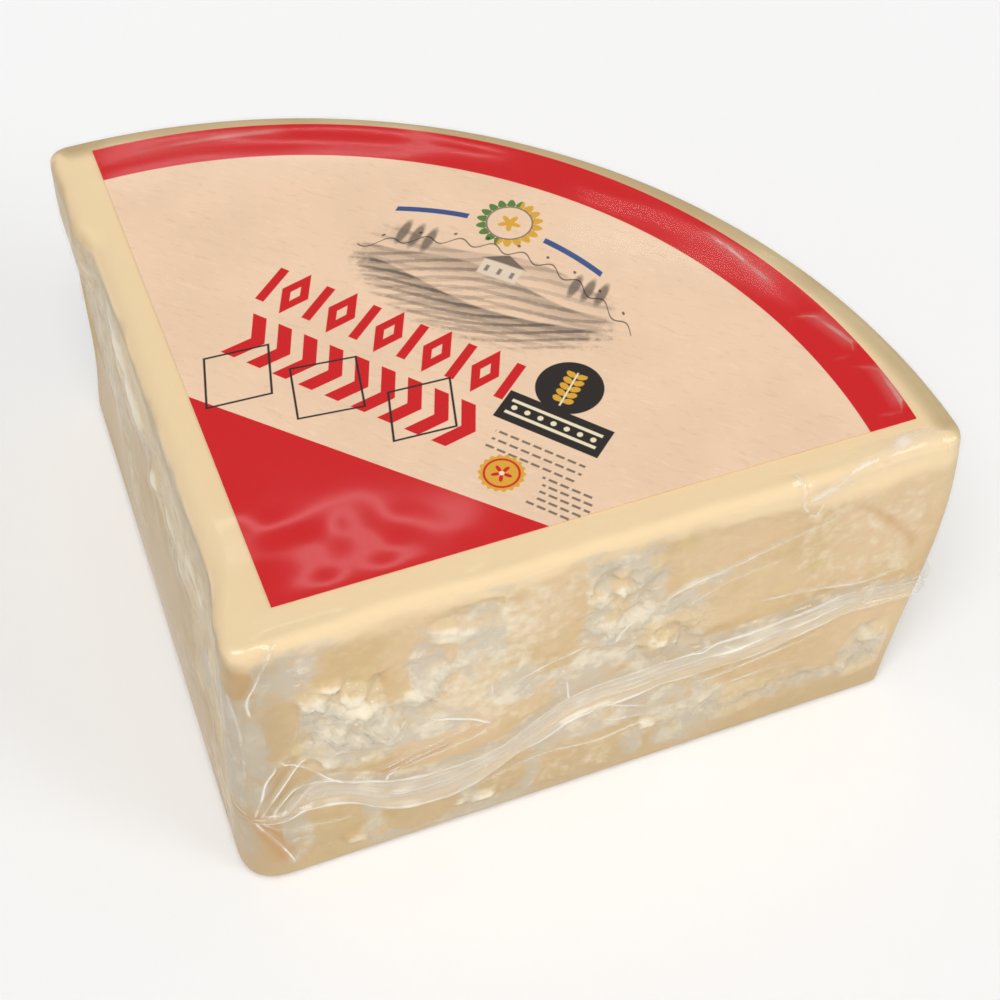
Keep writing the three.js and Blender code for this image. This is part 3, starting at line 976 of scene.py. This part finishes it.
def milkiness(gap, gather):
    """From 0, clear, to 1, milky: where the film has lifted, in blotches and in the gathers."""
    along = along_face()
    blotch = cloud(along / 9, Z / 9, 101, 2)
    lifted = FROM_GAP * smooth(gap + 0.8 * blotch, MILKY_FROM, MILKY_FULL)
    named = veil() * (0.85 + 0.3 * blotch)
    return np.clip(np.maximum(np.maximum(lifted, named), FROM_PLEAT * gather), 0, 1) * near_cuts()


WITHIN_PLEAT = smooth(PLEAT_V, -0.2, 0.1) * (1 - smooth(PLEAT_V, 0.9, 1.2)) * pleat_strengths()
HAZE = milkiness(GAP + TENT * 0.6, WITHIN_PLEAT)
print("milky share of the surface", (HAZE > 0.3).mean().round(2))

# %% [markdown]
# ## Waves over the label
# Perfectly flat film would mirror a lamp as one hard bar. Real film waves by a tenth of a
# millimetre or two where it is stretched round the edge, and the bar breaks up into streaks. A
# bump in the material could fake that, but in the mesh it also holds from other angles.

# %% Waves of the film over the paper
LID_WAVE, TIP_WAVE = 0.16, 1.4
RIM_WAVE_FROM, RIM_WAVE_FULL = 16, 8
TIP_WAVE_REACH = (44, 72)


def lid_waves():
    """The film isn't quite flat near the rim and the tip, so a light breaks up into streaks there."""
    x, y = on_label()
    radius, angle = np.hypot(x, y), np.arctan2(y, x)
    along_rim = cloud(angle * LABEL_RADIUS / 46, radius / 6, 151, 2)
    at_tip = cloud(x / 17, y / 17, 153, 2)
    near_rim = smooth(radius, LABEL_RADIUS - RIM_WAVE_FROM, LABEL_RADIUS - RIM_WAVE_FULL)
    near_tip = 1 - smooth(x + y, *TIP_WAVE_REACH)
    wave = along_rim * near_rim + TIP_WAVE * at_tip * near_tip
    return LID_WAVE * wave * np.sin(np.maximum(TILT, 0)) ** 8


# %% [markdown]
# ## The cheese
# The cheese lies just inside the outer form. Its mesh also carries what its surface is like from place to
# place, because no noise knows where the rind begins: the strip of rind along the top, with a ragged
# border, the darker rind of the rim, which on the strip behind the label is also painted shade of the
# rounded back edge, ochre marks where the paste is bare, painted shade lines along folds, and painted shade
# that makes the paste darker near the foot, at the tip and on the side cut.

# %% Marks on the cheese
# Each entry: its points along the front and up, its half width in mm, and its strength. The first and third
# are the paste's own ochre where it is bare. The second is a painted shadow line along a fold at the upper
# right, and the last two are painted shade along folds.
STAINS_AND_SHADE_LINES = (
    (((-11, 40), (-7, 31), (-3, 20), (0, 8)), 4.2, 1.0),
    (((176, 104), (183, 102), (190, 94), (196, 86), (200, 80), (204, 71)), 1.8, 0.5),
    (((-8, 114), (-6, 106), (-7, 98)), 4.5, 0.55),
    (((29, 44), (40, 42), (54, 47)), 1.6, 0.5),
    (((100, 55), (120, 60), (150, 62)), 1.5, 0.35),
)
# Where the darker rind, partly painted shade of the rounded back edge, begins and is full, in mm from the
# axis.
RIM_RIND_FROM, RIM_RIND_FULL = 203, 208


def rim_rind_and_shade():
    """1 on the rim, whose rind is darker, and on the narrow strip of the top outside the label, where the
    darker colour is also painted shade of the rounded back edge.
    """
    columns = per_column({
        "front": 0,
        "front_end": SHARE["front_end"],
        "rim": 1,
        "side_end": 1 - SHARE["side_end"],
        "side": 0,
        "tip": 0,
    })
    return columns * smooth(np.hypot(FLAT[..., 0], FLAT[..., 1]), RIM_RIND_FROM, RIM_RIND_FULL)


def stains_and_shade_lines():
    """0 to 1: ochre where the paste is bare at the foot and the top of the tip, and painted shade, as a
    shadow line along a fold and as shade along folds.
    """
    marks = np.zeros(Z.shape)
    for face in ("front", "tip"):
        where, _ = columns_of(face)
        for points, width, strength in STAINS_AND_SHADE_LINES:
            away, share = line_field(PLAN[:, where, 0], Z[:, where], points)
            mark = strength * fading_ends(share) * np.exp(-(away / width) ** 2)
            marks[:, where] = np.maximum(marks[:, where], mark)
    return marks


# %% Painted shade on the paste
SHADE_AT_FOOT, SHADE_HEIGHTS, SHADE_RAGGED = 0.9, (4, 44), 6


def painted_paste_shade():
    """0 to 1, painted shade: the paste is painted a darker ochre towards the foot, round the tip and on the
    side cut.
    """
    ragged = SHADE_RAGGED * cloud(along_face() / 18, Z / 18, 137, 2)
    by_face = per_column({
        "front": 1 - smooth(SHARE["front"], 0, 0.08),
        "front_end": 0.5 * SHARE["front_end"],
        "rim": 0.5,
        "side_end": mix(0.5, 0.8, SHARE["side_end"]),
        "side": mix(0.8, 1, SHARE["side"]),
        "tip": 1,
    })
    at_foot = SHADE_AT_FOOT * (1 - smooth(Z + ragged, *SHADE_HEIGHTS))
    return np.maximum(by_face, at_foot)


# %% Cheese
FILM_GAP = 0.8
RIND_SHOWN, RIND_AT_END, RIND_ON_SIDE = 11, 16, 5
RIND_RAGGED, RIND_BLEND = 3.5, 7


def make_cheese():
    out = RELIEF - FILM_GAP
    places = SURFACE + NORMAL * out[..., None]
    places[..., 2] = np.maximum(places[..., 2], FILM_GAP / 2)
    shown = per_column({
        "front": mix(RIND_SHOWN, RIND_AT_END, smooth(SHARE["front"], 0.5, 0.9)),
        "front_end": mix(RIND_AT_END, RIND_SHOWN, SHARE["front_end"]),
        "rim": RIND_SHOWN,
        "side_end": RIND_SHOWN,
        "side": RIND_ON_SIDE,
        "tip": mix(RIND_ON_SIDE, RIND_SHOWN, SHARE["tip"]),
    })
    border = UNROLLED + RIND_RAGGED * cloud(along_face() / 13, Z / 11, 133)
    rind = smooth(border, HEIGHT - shown, HEIGHT + RIND_BLEND - shown)
    broad = cloud(along_face() / 24, Z / 20, 131)
    attributes = {"crag": CRAG, "rind": rind, "stand_out": RELIEF, "broad": broad, "rim": rim_rind_and_shade()}
    return skin("cheese", places, {**attributes, "stain_and_shade": stains_and_shade_lines(), "haze": HAZE, "shade": painted_paste_shade()})


cheese = make_cheese()

# %% [markdown]
# ## The film
# Film for such packs is thinner than a tenth of a millimetre. A Solidify modifier could give it
# that wall, but both walls would shine and twice as many rays would be spent on what looks the
# same, so the film is a single closed skin. Under the pleat it spans the relief more widely.

# %% Film
CRINKLE, CRINKLE_LENGTH = 0.2, 5


def make_film():
    sheet = mix(SHEET, taut(smoothed(smoothed(SHEET))), WITHIN_PLEAT)
    crinkle = CRINKLE * cloud(along_face() / CRINKLE_LENGTH, Z / CRINKLE_LENGTH, 161, 2) * HAZE
    places = SURFACE + NORMAL * (sheet + TENT + RIDGE + crinkle + lid_waves())[..., None]
    return skin("film", places, {"haze": HAZE, "pleat": WITHIN_PLEAT, **LINES})


film = make_film()

# %% [markdown]
# ## Label
# The label is thin paper in the shape of a quarter disc, a little smaller than the top. A short
# line of vertices, spun by a little more than a right angle, gives the sheet, and an extrusion
# gives its thickness. It lies between the cheese and the film.

# %% Label sheet
LABEL_OPENING = math.radians(90.6)
LABEL_LOW = 120.85
PAPER = 0.3


def make_label():
    made = bmesh.new()
    ends = [made.verts.new((radius, 0, 0)) for radius in (0, LABEL_RADIUS)]
    edge = made.edges.new(ends)
    bmesh.ops.subdivide_edges(made, edges=[edge], cuts=5)
    bmesh.ops.spin(
        made, geom=made.verts[:] + made.edges[:], cent=(0, 0, 0), axis=(0, 0, 1),
        angle=LABEL_OPENING, steps=90,
    )
    bmesh.ops.remove_doubles(made, verts=made.verts, dist=1e-3)
    sheet = bmesh.ops.extrude_face_region(made, geom=made.faces[:])
    lifted = [item for item in sheet["geom"] if isinstance(item, bmesh.types.BMVert)]
    bmesh.ops.translate(made, verts=lifted, vec=(0, 0, PAPER))
    bmesh.ops.recalc_face_normals(made, faces=made.faces)
    corner = AXIS + LABEL_CORNER
    bmesh.ops.translate(made, verts=made.verts, vec=(*corner, LABEL_LOW))
    bmesh.ops.scale(made, verts=made.verts, vec=(MM, MM, MM))
    piece = piece_of(made, "paper_label")
    print("label sheet", len(piece.data.polygons), "faces")
    return piece


paper_label = make_label()

# %% [markdown]
# ## Cheese material
# Paste of this age is straw-coloured and not even: ochre where it is dense, nearly white on the broken
# edges of its grain, with fine white crystals. Subsurface light would soften the cracks a little more, but
# it makes every ray dearer, so a warm, darker tint painted into the hollows, which is painted shade, does
# nearly as well. Each layer is driven by noise or by a value that the mesh carries. The last layer is the
# milk that stands behind loose film, in wisps rather than as a flat tint.

# %% Cheese material
def cheese_material():
    made = Material("aged_cheese")
    place = made.coordinates()
    crag, rind, broad, stand_out, rim, stain_and_shade, shade, haze = (
        made.attribute(name)
        for name in ("crag", "rind", "broad", "stand_out", "rim", "stain_and_shade", "shade", "haze")
    )
    fine = made.noise(place, 260, detail=3)
    grain = made.noise(place, 900, detail=1)
    colour = made.mix(made.ramp(broad, -0.5, 0.5), srgb(212, 181, 127), srgb(224, 193, 148))
    colour = made.mix(made.ramp(fine, 0.45, 0.75) * 0.4, colour, srgb(233, 208, 166))
    mottle = made.noise(place, 110, detail=4, roughness=0.6)
    colour = made.mix(made.ramp(mottle, 0.55, 0.68) * 0.45, colour, srgb(222, 200, 138))
    colour = made.mix(made.ramp(mottle, 0.45, 0.34) * 0.35, colour, srgb(226, 188, 140))
    # painted shade: the paste darker towards the foot, round the tip and on the side cut
    colour = made.mix(shade * 0.8, colour, srgb(191, 164, 118))
    broken_part = made.ramp(crag + (fine - 0.5) * 0.6, 0.25, 0.8)
    colour = made.mix(broken_part * 0.5, colour, srgb(231, 212, 172))
    raised = made.ramp(stand_out + (fine - 0.5) * 1.4, 0.25, 1.5)
    colour = made.mix(raised * 0.78, colour, srgb(250, 240, 216))
    # painted shade in the hollows, standing in for subsurface light
    hollow_shade = made.ramp(stand_out * -1 + (fine - 0.5) * 1.0, 0.6, 2.6)
    colour = made.mix(hollow_shade * 0.5, colour, srgb(200, 178, 138))
    # ochre where the paste is bare, and painted shade lines along folds
    colour = made.mix(stain_and_shade * 0.9, colour, srgb(196, 146, 78))
    colour = made.mix(rind * 0.9, colour, srgb(249, 221, 175))
    # the rim's darker rind, which on the strip behind the label is also painted shade of the rounded back
    # edge
    dark_rind_and_shade = made.mix(made.ramp(broad, -0.5, 0.5), srgb(196, 170, 124), srgb(208, 184, 140))
    colour = made.mix(rim, colour, dark_rind_and_shade)
    crystals = made.ramp(grain, 0.66, 0.74) * crag * 0.5
    colour = made.mix(crystals, colour, srgb(255, 250, 235))
    wander = made.noise(place, 150, detail=4, roughness=0.62)
    bloom = made.ramp(haze, 0.05, 0.7) * made.ramp(wander + haze * 0.2, 0.44, 0.74)
    milky = made.mix(made.ramp(mottle, 0.48, 0.64), srgb(210, 198, 176), srgb(243, 233, 211))
    # painted shade on the milk, in the same places as on the paste
    milky = made.mix(shade * 0.6, milky, srgb(180, 168, 144))
    colour = made.mix(bloom * (0.84 - stain_and_shade * 0.7), colour, milky)
    height = fine * (crag + 0.4) + grain * crag * 0.3
    bump = made.node("Bump", Strength=0.6, Distance=0.8 * MM, Height=height)
    shader = made.node("BsdfPrincipled", **{"Base Color": colour, "Roughness": 0.6, "Normal": bump})
    return made.output(shader)


dress(cheese, cheese_material())

# %% [markdown]
# ## Film material
# Clear film shows itself in three ways: as a thin veil where it has come off the cheese, as white lines
# along its creases, and by its gloss. The white lines are painted highlights: the glints of the lamps on
# the crests, painted white. One Mix Shader sets how much of the film is seen at all, one within it how
# white that part is, and a third adds a sharp gloss that grows at grazing angles, as on any plastic. The
# white lines are found where a stored distance passes through zero, with a faint painted glow beside them,
# and noise presses them flat in places. Whiter streaks in the milky places are partly the milk's own
# streaks and partly painted sheen. A Fresnel node would do for a solid block, but on a thin sheet it turns
# back the light that comes through from inside, so the usual fifth power of the facing angle is used
# instead, which is alike from both sides.

# %% Film material
HEAD_ON_GLOSS, GRAZING_GLOSS = 0.03, 0.35


def painted_crest_highlights(made):
    """Painted highlights, 1 on the crests of folds and pleats: there a stored, signed distance passes
    through zero.
    """
    rib = made.attribute("rib")
    off_rib = abs(rib - rib.math("ROUND"))
    pressed = made.ramp(made.noise(made.coordinates(), 85, detail=2), 0.36, 0.6) * 0.6 + 0.4
    lines = made.ramp(off_rib, 0.26, 0.06) * made.attribute("rib_shine") * (pressed * 0.5 + 0.5)
    for group in (*range(len(FOLDS)), "lid"):
        off_fold, shine = abs(made.attribute(f"fold_{group}")), made.attribute(f"shine_{group}")
        crest = made.ramp(off_fold, 0.6, 0.1) * pressed
        lines = lines | shine * (crest | made.ramp(off_fold, 2.2, 0.1) * 0.28)
    return lines


def film_material():
    made = Material("shrink_film")
    place, haze, pleat = made.coordinates(), made.attribute("haze"), made.attribute("pleat")
    # whiter streaks in the milky places: partly the milk's own streaks, partly painted sheen
    streak = made.noise(made.stretched(place, (150, 150, 300)), 1.0, detail=3, distortion=0.5)
    white = made.ramp(streak, 0.56, 0.76) * haze
    bright = painted_crest_highlights(made) | white * 0.75
    cover = 0.002 + (haze * 0.16 + pleat * 0.22) | bright * 0.75
    clear = made.node("BsdfTransparent")
    haze_milk = made.node("BsdfDiffuse", Color=srgb(240, 231, 214))
    # the white of the painted highlights and of the streaks
    painted_highlight_white = made.node("BsdfDiffuse", Color=srgb(255, 251, 243))
    milk = made.node("MixShader", i0=bright, i1=haze_milk, i2=painted_highlight_white)
    body = made.node("MixShader", i0=cover, i1=clear, i2=milk)
    gloss = made.node("BsdfGlossy", Color=(1, 1, 1, 1), Roughness=0.08)
    facing = made.node("LayerWeight", Blend=0.5, out=1)
    reflected = facing ** 5 * GRAZING_GLOSS + HEAD_ON_GLOSS
    return made.output(made.node("MixShader", i0=reflected, i1=body, i2=gloss))


dress(film, film_material())

# %% [markdown]
# ## Print on the label
# The print is worked out in the shader, from where a point lies on the label: x and y run
# along its two straight edges, r is the distance from its corner, and s and d run across and
# up the quarter's diagonal, the way the pattern reads. Every motif is a distance, negative
# inside, and a mask softens the distance by the spread of the ink. Painting is then a Mix node
# for each ink. A generic ornament fills the label: bars and lozenges, hills, a wreath, a seal.

# %% Places on the label
class Print(Material):
    """A material with the label's own coordinates, in mm, and inks painted one over another."""

    def __init__(self, name):
        super().__init__(name)
        self.place = self.coordinates()
        split = self.node("SeparateXYZ", Vector=self.place)
        corner = AXIS + LABEL_CORNER
        self.x = split / MM - float(corner[0])
        self.y = Socket(self.tree, split.socket.node.outputs[1]) / MM - float(corner[1])
        self.s = (self.x - self.y) * math.sqrt(0.5)
        self.d = (self.x + self.y) * math.sqrt(0.5)
        self.ink = None

    def mask(self, distance, soft=0.12):
        """1 inside a shape, 0 outside it."""
        return self.node("MapRange", **{"Value": distance, "From Min": soft, "From Max": -soft})

    def paint(self, mask, colour, strength=1.0):
        self.ink = self.mix(mask * strength, self.ink, colour)

    def at(self, s, d, turn=0.0):
        """Coordinates about a point of the diagonal frame, turned by some degrees."""
        c, n = math.cos(math.radians(turn)), math.sin(math.radians(turn))
        across, up = self.s - s, self.d - d
        if not turn:
            return across, up
        return across * c + up * n, up * c - across * n

    def repeat(self, value, step):
        """The distance from the middle of the nearest of evenly spaced places."""
        return value - (value * (1 / step)).math("ROUND") * step


def length_of(a, b):
    return (a * a + b * b) ** 0.5


def box_of(a, b, half_a, half_b):
    """Distance to a rectangle, near enough for print."""
    return (abs(a) - half_a) | (abs(b) - half_b)


# %% [markdown]
# ## Inks and motifs
# A pack is printed in a few flat inks, one over another. An image would carry them more easily,
# but it blurs close by, and formulas stay sharp at any distance. So each motif is one short
# function that paints its inks at a place given in mm, and it can be moved or left out alone.
# Only the paper and the drawing in sepia use noise, as fibres and as rough strokes.

# %% Inks
KRAFT = srgb(247, 213, 181)
RED = srgb(212, 14, 20)
BLACK = srgb(38, 30, 26)
CREAM = srgb(244, 230, 196)
GOLD = srgb(226, 170, 52)
LEAF_GREEN = srgb(92, 132, 62)
RULE_BLUE = srgb(58, 84, 140)
SEPIA = srgb(116, 100, 88)
LIMEWASH = srgb(236, 216, 192)

# %% Paper ground, red corner and red rim band
CORNER_RED = 80.4
BAND_INNER = 179.8


def kraft_ground(made):
    """Brown paper: faint clouds, and short fibres that lie mostly one way."""
    cloudy = made.noise(made.place, 32, detail=3)
    lying = made.node("CombineXYZ", X=made.s * 0.17, Y=made.d * 0.75)
    fibres = made.noise(lying, 1.0, detail=3, distortion=0.9)
    ground = made.mix(made.ramp(cloudy, 0.35, 0.65) * 0.5, KRAFT, srgb(236, 203, 171))
    ground = made.mix(made.ramp(fibres, 0.55, 0.75) * 0.3, ground, srgb(212, 176, 142))
    made.ink = made.mix(made.ramp(fibres, 0.42, 0.3) * 0.3, ground, srgb(253, 228, 200))


def red_fields(made):
    made.paint(made.mask(made.x + made.y - CORNER_RED), RED)
    made.paint(made.mask(BAND_INNER - length_of(made.x, made.y)), RED)


# %% Title place: a row of lozenges and bars over a row of chevrons
TITLE, CHEVRONS = (-16.5, 104.5, -4), (-16.5, 82.5, -4)
TITLE_STEP, CHEVRON_STEP = 16.5, 9


def title_rows(made):
    across, up = made.at(*TITLE)
    near = made.repeat(across, TITLE_STEP)
    row = box_of(across, up, 44.5, 9.5)
    lozenge = (abs(near) / 4.6 + abs(up) / 9.4 - 1) * 4
    eye = (abs(near) / 1.6 + abs(up) / 3.4 - 1) * 1.5
    bar = box_of(made.repeat(across + TITLE_STEP / 2, TITLE_STEP), up, 1.5, 7.5)
    made.paint(made.mask(((lozenge | -eye) & bar) | row), RED)
    across, up = made.at(*CHEVRONS)
    slanted = across + abs(up) * 0.55 - 2
    stripes = abs(made.repeat(slanted, CHEVRON_STEP)) - 2.4
    made.paint(made.mask(stripes | box_of(slanted, up, 40.5, 9)), RED)


# %% Outlined lozenges over the title's foot
OUTLINES = ((-49, 70, 12.5, 15), (-23, 77, 13.5, 14.5), (6, 81, 12, 14.5))


def outlined_lozenges(made):
    for s, d, half_wide, half_high in OUTLINES:
        across, up = made.at(s, d, -8)
        shape = (abs(across) / half_wide + abs(up) / half_high - 1) * (0.7 * half_wide)
        made.paint(made.mask(abs(shape) - 0.32), BLACK)


# %% Vignette: hills in sepia, with furrows, cypresses and a farmhouse
HILLS = (
    (147.0, 2.6, 0.105, 0.4, 0.25), (138.5, 2.8, 0.085, 2.1, 0.45), (128.0, 3.0, 0.07, 4.4, 0.7),
)
TREE_ROWS, TREE_STEP = ((-27, 140, 2, 9.5), (31, 141, 2, 8.5)), 4.4
HOUSE = (3, 141.5)


def vignette(made):
    across, up = made.s - 1, made.d
    rough = made.noise(made.place, 420, detail=3)
    edge = length_of(across / 45, (up - 134) / 24) + (rough - 0.5) * 0.35
    fade = made.ramp(edge, 1.02, 0.8)
    for base, tall, often, start, shade in HILLS:
        line = (across * often + start).math("SINE") * tall + base
        depth = line - up
        furrows = ((depth + across * 0.3) * (1.1 + shade)).math("SINE")
        tone = made.ramp(depth, 11, 0) * 0.55 + made.ramp(furrows + (rough - 0.5) * 1.6, 0.1, 0.7) * 0.5
        made.paint(made.mask(-depth, 0.4) * fade * tone, SEPIA, shade + 0.25)
    for s, d, half_count, tall in TREE_ROWS:
        near = made.repeat(made.s - s, TREE_STEP)
        tree = length_of(near / 1.5, (made.d - d - tall / 2) / (tall / 2 + 0.6)) - 1
        row = abs(made.s - s) - TREE_STEP * (half_count - 0.5)
        made.paint(made.mask(tree | row, 0.25), SEPIA, 0.85)


def farmhouse(made):
    across, up = made.at(*HOUSE)
    made.paint(made.mask(box_of(across, up, 6.5, 3.2), 0.25), LIMEWASH, 0.95)
    roof = (abs(across) * 0.55 + up - 7.5) | (3.5 - up)
    made.paint(made.mask(roof, 0.25), SEPIA, 0.95)
    windows = box_of(made.repeat(across, 4.2), up + 0.3, 0.6, 1.3) | (abs(across) - 5.4)
    made.paint(made.mask(windows, 0.2), SEPIA, 0.85)


# %% Wreath between two rules, and a curling line with dots
WREATH = (-3, 162)
CURL = (4, 150.5)


def wreath(made):
    across, up = made.at(*WREATH)
    angle, ring = up.math("ARCTAN2", across), length_of(across, up)
    leaf = abs((angle * 9).math("SINE")) * 2.3
    leaves = abs(ring - 8.2) - leaf | (7.5 - ring)
    made.paint(made.mask(leaves), LEAF_GREEN)
    made.paint(made.mask(leaves) * made.mask(across * -1, 0.3), GOLD)
    made.paint(made.mask(abs(ring - 7.2) - 0.3), BLACK, 0.7)
    star = ring - 2.6 - (angle * 5).math("COSINE") * 1.1
    made.paint(made.mask(star), GOLD)
    bow = up + 1.5 + (across * across) * 0.006
    made.paint(made.mask((abs(bow) - 1.1) | (abs(abs(across) - 24) - 11)), RULE_BLUE)


def curl(made):
    across, up = made.at(*CURL)
    bow = up + across * across * 0.008
    line = abs(bow - (across * 0.62).math("SINE") * 1.5) - 0.28
    dot = length_of(made.repeat(across, 10.1), bow - 3.4) - 0.55
    made.paint(made.mask((line & dot) | (abs(across) - 46)), BLACK, 0.8)


# %% Dark disc with a wheat ear, plate with rules, dashed rows
DISC = (41.7, 106.5, 10.2)
PLATE = (43.0, 91.8, 17.0, 5.6)


def disc_and_plate(made):
    s, d, radius = DISC
    across, up = made.at(s, d, 0)
    ring = length_of(across, up)
    made.paint(made.mask(ring - radius), BLACK)
    grain_row = made.repeat(up, 2.6)
    grains = length_of((abs(across) - 1.7 - grain_row * 0.4) / 1.5, grain_row / 1.2) - 1
    made.paint(made.mask((grains * 1.2) | (abs(up) - 6.2)), GOLD)
    made.paint(made.mask((abs(across) - 0.3) | (abs(up + 0.6) - 7)), CREAM)
    s, d, half_wide, half_high = PLATE
    across, up = made.at(s, d, -4)
    made.paint(made.mask(box_of(across, up, half_wide, half_high)), BLACK)
    for height in (-2.4, 2.4):
        made.paint(made.mask(box_of(across, up - height, half_wide - 2.2, 0.55)), CREAM)
    dots = length_of(made.repeat(across, 4.3), up) - 0.9
    made.paint(made.mask(dots | (abs(across) - half_wide + 3)), CREAM)


DASHED_ROWS = ((43.5, 78.5, 3.1, 4.4, 14.5), (57.5, 66.5, 2.5, 6.2, 8.0))


def dashed_rows(made):
    """Blocks of dashed rows, each row's dashes shifted, where small print would be."""
    for s, d, step, half_high, half_wide in DASHED_ROWS:
        across, up = made.at(s, d, -4)
        row = (up * (1 / step)).math("ROUND")
        dash = box_of(made.repeat(across + row * 1.3, 3.7), up - row * step, 1.35, 0.42)
        ragged = abs(across + row * row * 0.4) - half_wide
        made.paint(made.mask(dash | ragged | (abs(up) - half_high)), BLACK, 0.75)


# %% Gold seal with a flower
SEAL = (37.1, 68.7, 6.6)


def seal(made):
    s, d, radius = SEAL
    across, up = made.at(s, d, 0)
    angle, ring = up.math("ARCTAN2", across), length_of(across, up)
    scallop = (angle * 18).math("COSINE") * 0.35
    made.paint(made.mask(ring - radius - scallop), GOLD)
    made.paint(made.mask(abs(ring - radius + 1.5) - 0.35), RED)
    petals = ring - 1.9 - (angle * 5).math("COSINE") * 1.3
    made.paint(made.mask(petals), RED)
    made.paint(made.mask(ring - 0.8), CREAM)


# %% Label material
# In the order of printing: what comes later covers what came before.
MOTIFS = (
    kraft_ground, red_fields, vignette, farmhouse, title_rows, outlined_lozenges, wreath, curl,
    disc_and_plate, dashed_rows, seal,
)


def label_material():
    made = Print("printed_paper")
    for motif in MOTIFS:
        motif(made)
    tooth = made.noise(made.place, 700, detail=1)
    bump = made.node("Bump", Strength=0.15, Distance=0.2 * MM, Height=tooth)
    values = {"Base Color": made.ink, "Roughness": 0.6, "Specular IOR Level": 0.2, "Normal": bump}
    return made.output(made.node("BsdfPrincipled", **values))


dress(paper_label, label_material())

# %% [markdown]
# ## Floor and light
# The pack stands on a plain pale floor in soft studio light: a white surround, a soft main light
# from above the left shoulder and a weaker one from the right. Sun lamps with a wide angle give
# light that is soft and yet even over the whole floor, which an area lamp so near the pack would
# not. Three thin strips stand behind the pack. They add hardly any light, but the film mirrors
# them as streaks near the rim and the tip, and that is what tells the eye that it is glossy.

# %% Floor
FLOOR_REACH = 8.0


def make_floor():
    made = bmesh.new()
    bmesh.ops.create_grid(made, x_segments=8, y_segments=8, size=FLOOR_REACH)
    floor = piece_of(made, "floor")
    material = Material("pale_floor")
    tone = material.noise(material.coordinates(), 3, detail=2)
    pale = material.node("BsdfDiffuse", Color=srgb(249, 249, 249))
    paler = material.node("BsdfDiffuse", Color=srgb(252, 252, 252))
    shader = material.node("MixShader", i0=tone, i1=pale, i2=paler)
    dress(floor, material.output(shader))
    return floor


make_floor()

# %% Lights
# Suns: place in metres, strength and angle in degrees. Strips: place and power in watts.
SURROUND = 0.38
SUNS = (("left_sky", (-0.35, -0.6, 1.35), 1.7, 35), ("right_sky", (0.95, -1.0, 0.85), 0.6, 24))
STRIPS = (
    ("strip_left", (0.235, 1.168, 1.118), 0.13),
    ("strip_right", (0.613, 0.882, 1.156), 0.08),
    ("strip_near", (0.15, 1.02, 1.54), 0.16),
)
STRIP_LENGTH, STRIP_WIDTH = 0.4, 0.012
AIM = Vector((0, 0, 0.06))


def add_light(kind, name, place, strength, **settings):
    """A light at a place in metres, looking at the pack."""
    data = bpy.data.lights.new(name, kind)
    data.energy = strength
    for key, value in settings.items():
        setattr(data, key, value)
    light = bpy.data.objects.new(name, data)
    bpy.context.scene.collection.objects.link(light)
    light.location = place
    light.rotation_euler = (AIM - Vector(place)).to_track_quat("-Z", "Y").to_euler()


def set_world(strength):
    world = bpy.data.worlds.new("studio")
    world.use_nodes = True
    background = world.node_tree.nodes["Background"]
    background.inputs["Color"].default_value = (1, 1, 1, 1)
    background.inputs["Strength"].default_value = strength
    bpy.context.scene.world = world


set_world(SURROUND)
for name, place, strength, degrees in SUNS:
    add_light("SUN", name, place, strength, angle=math.radians(degrees))
for name, place, power in STRIPS:
    add_light("AREA", name, place, power, shape="RECTANGLE", size=STRIP_LENGTH, size_y=STRIP_WIDTH)
bpy.context.scene.view_settings.view_transform = "Standard"
print("lights:", ", ".join(name for name, *_ in SUNS + STRIPS))

# %% [markdown]
# ## Bodies
# Cheese and film both stand for the one imported solid, and the printed sheet stands for the label's solid.

# %% Bodies and nodes
for piece, node in ((cheese, "film_pack"), (film, "film_pack"), (paper_label, "label")):
    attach(piece, "root")
    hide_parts(node)
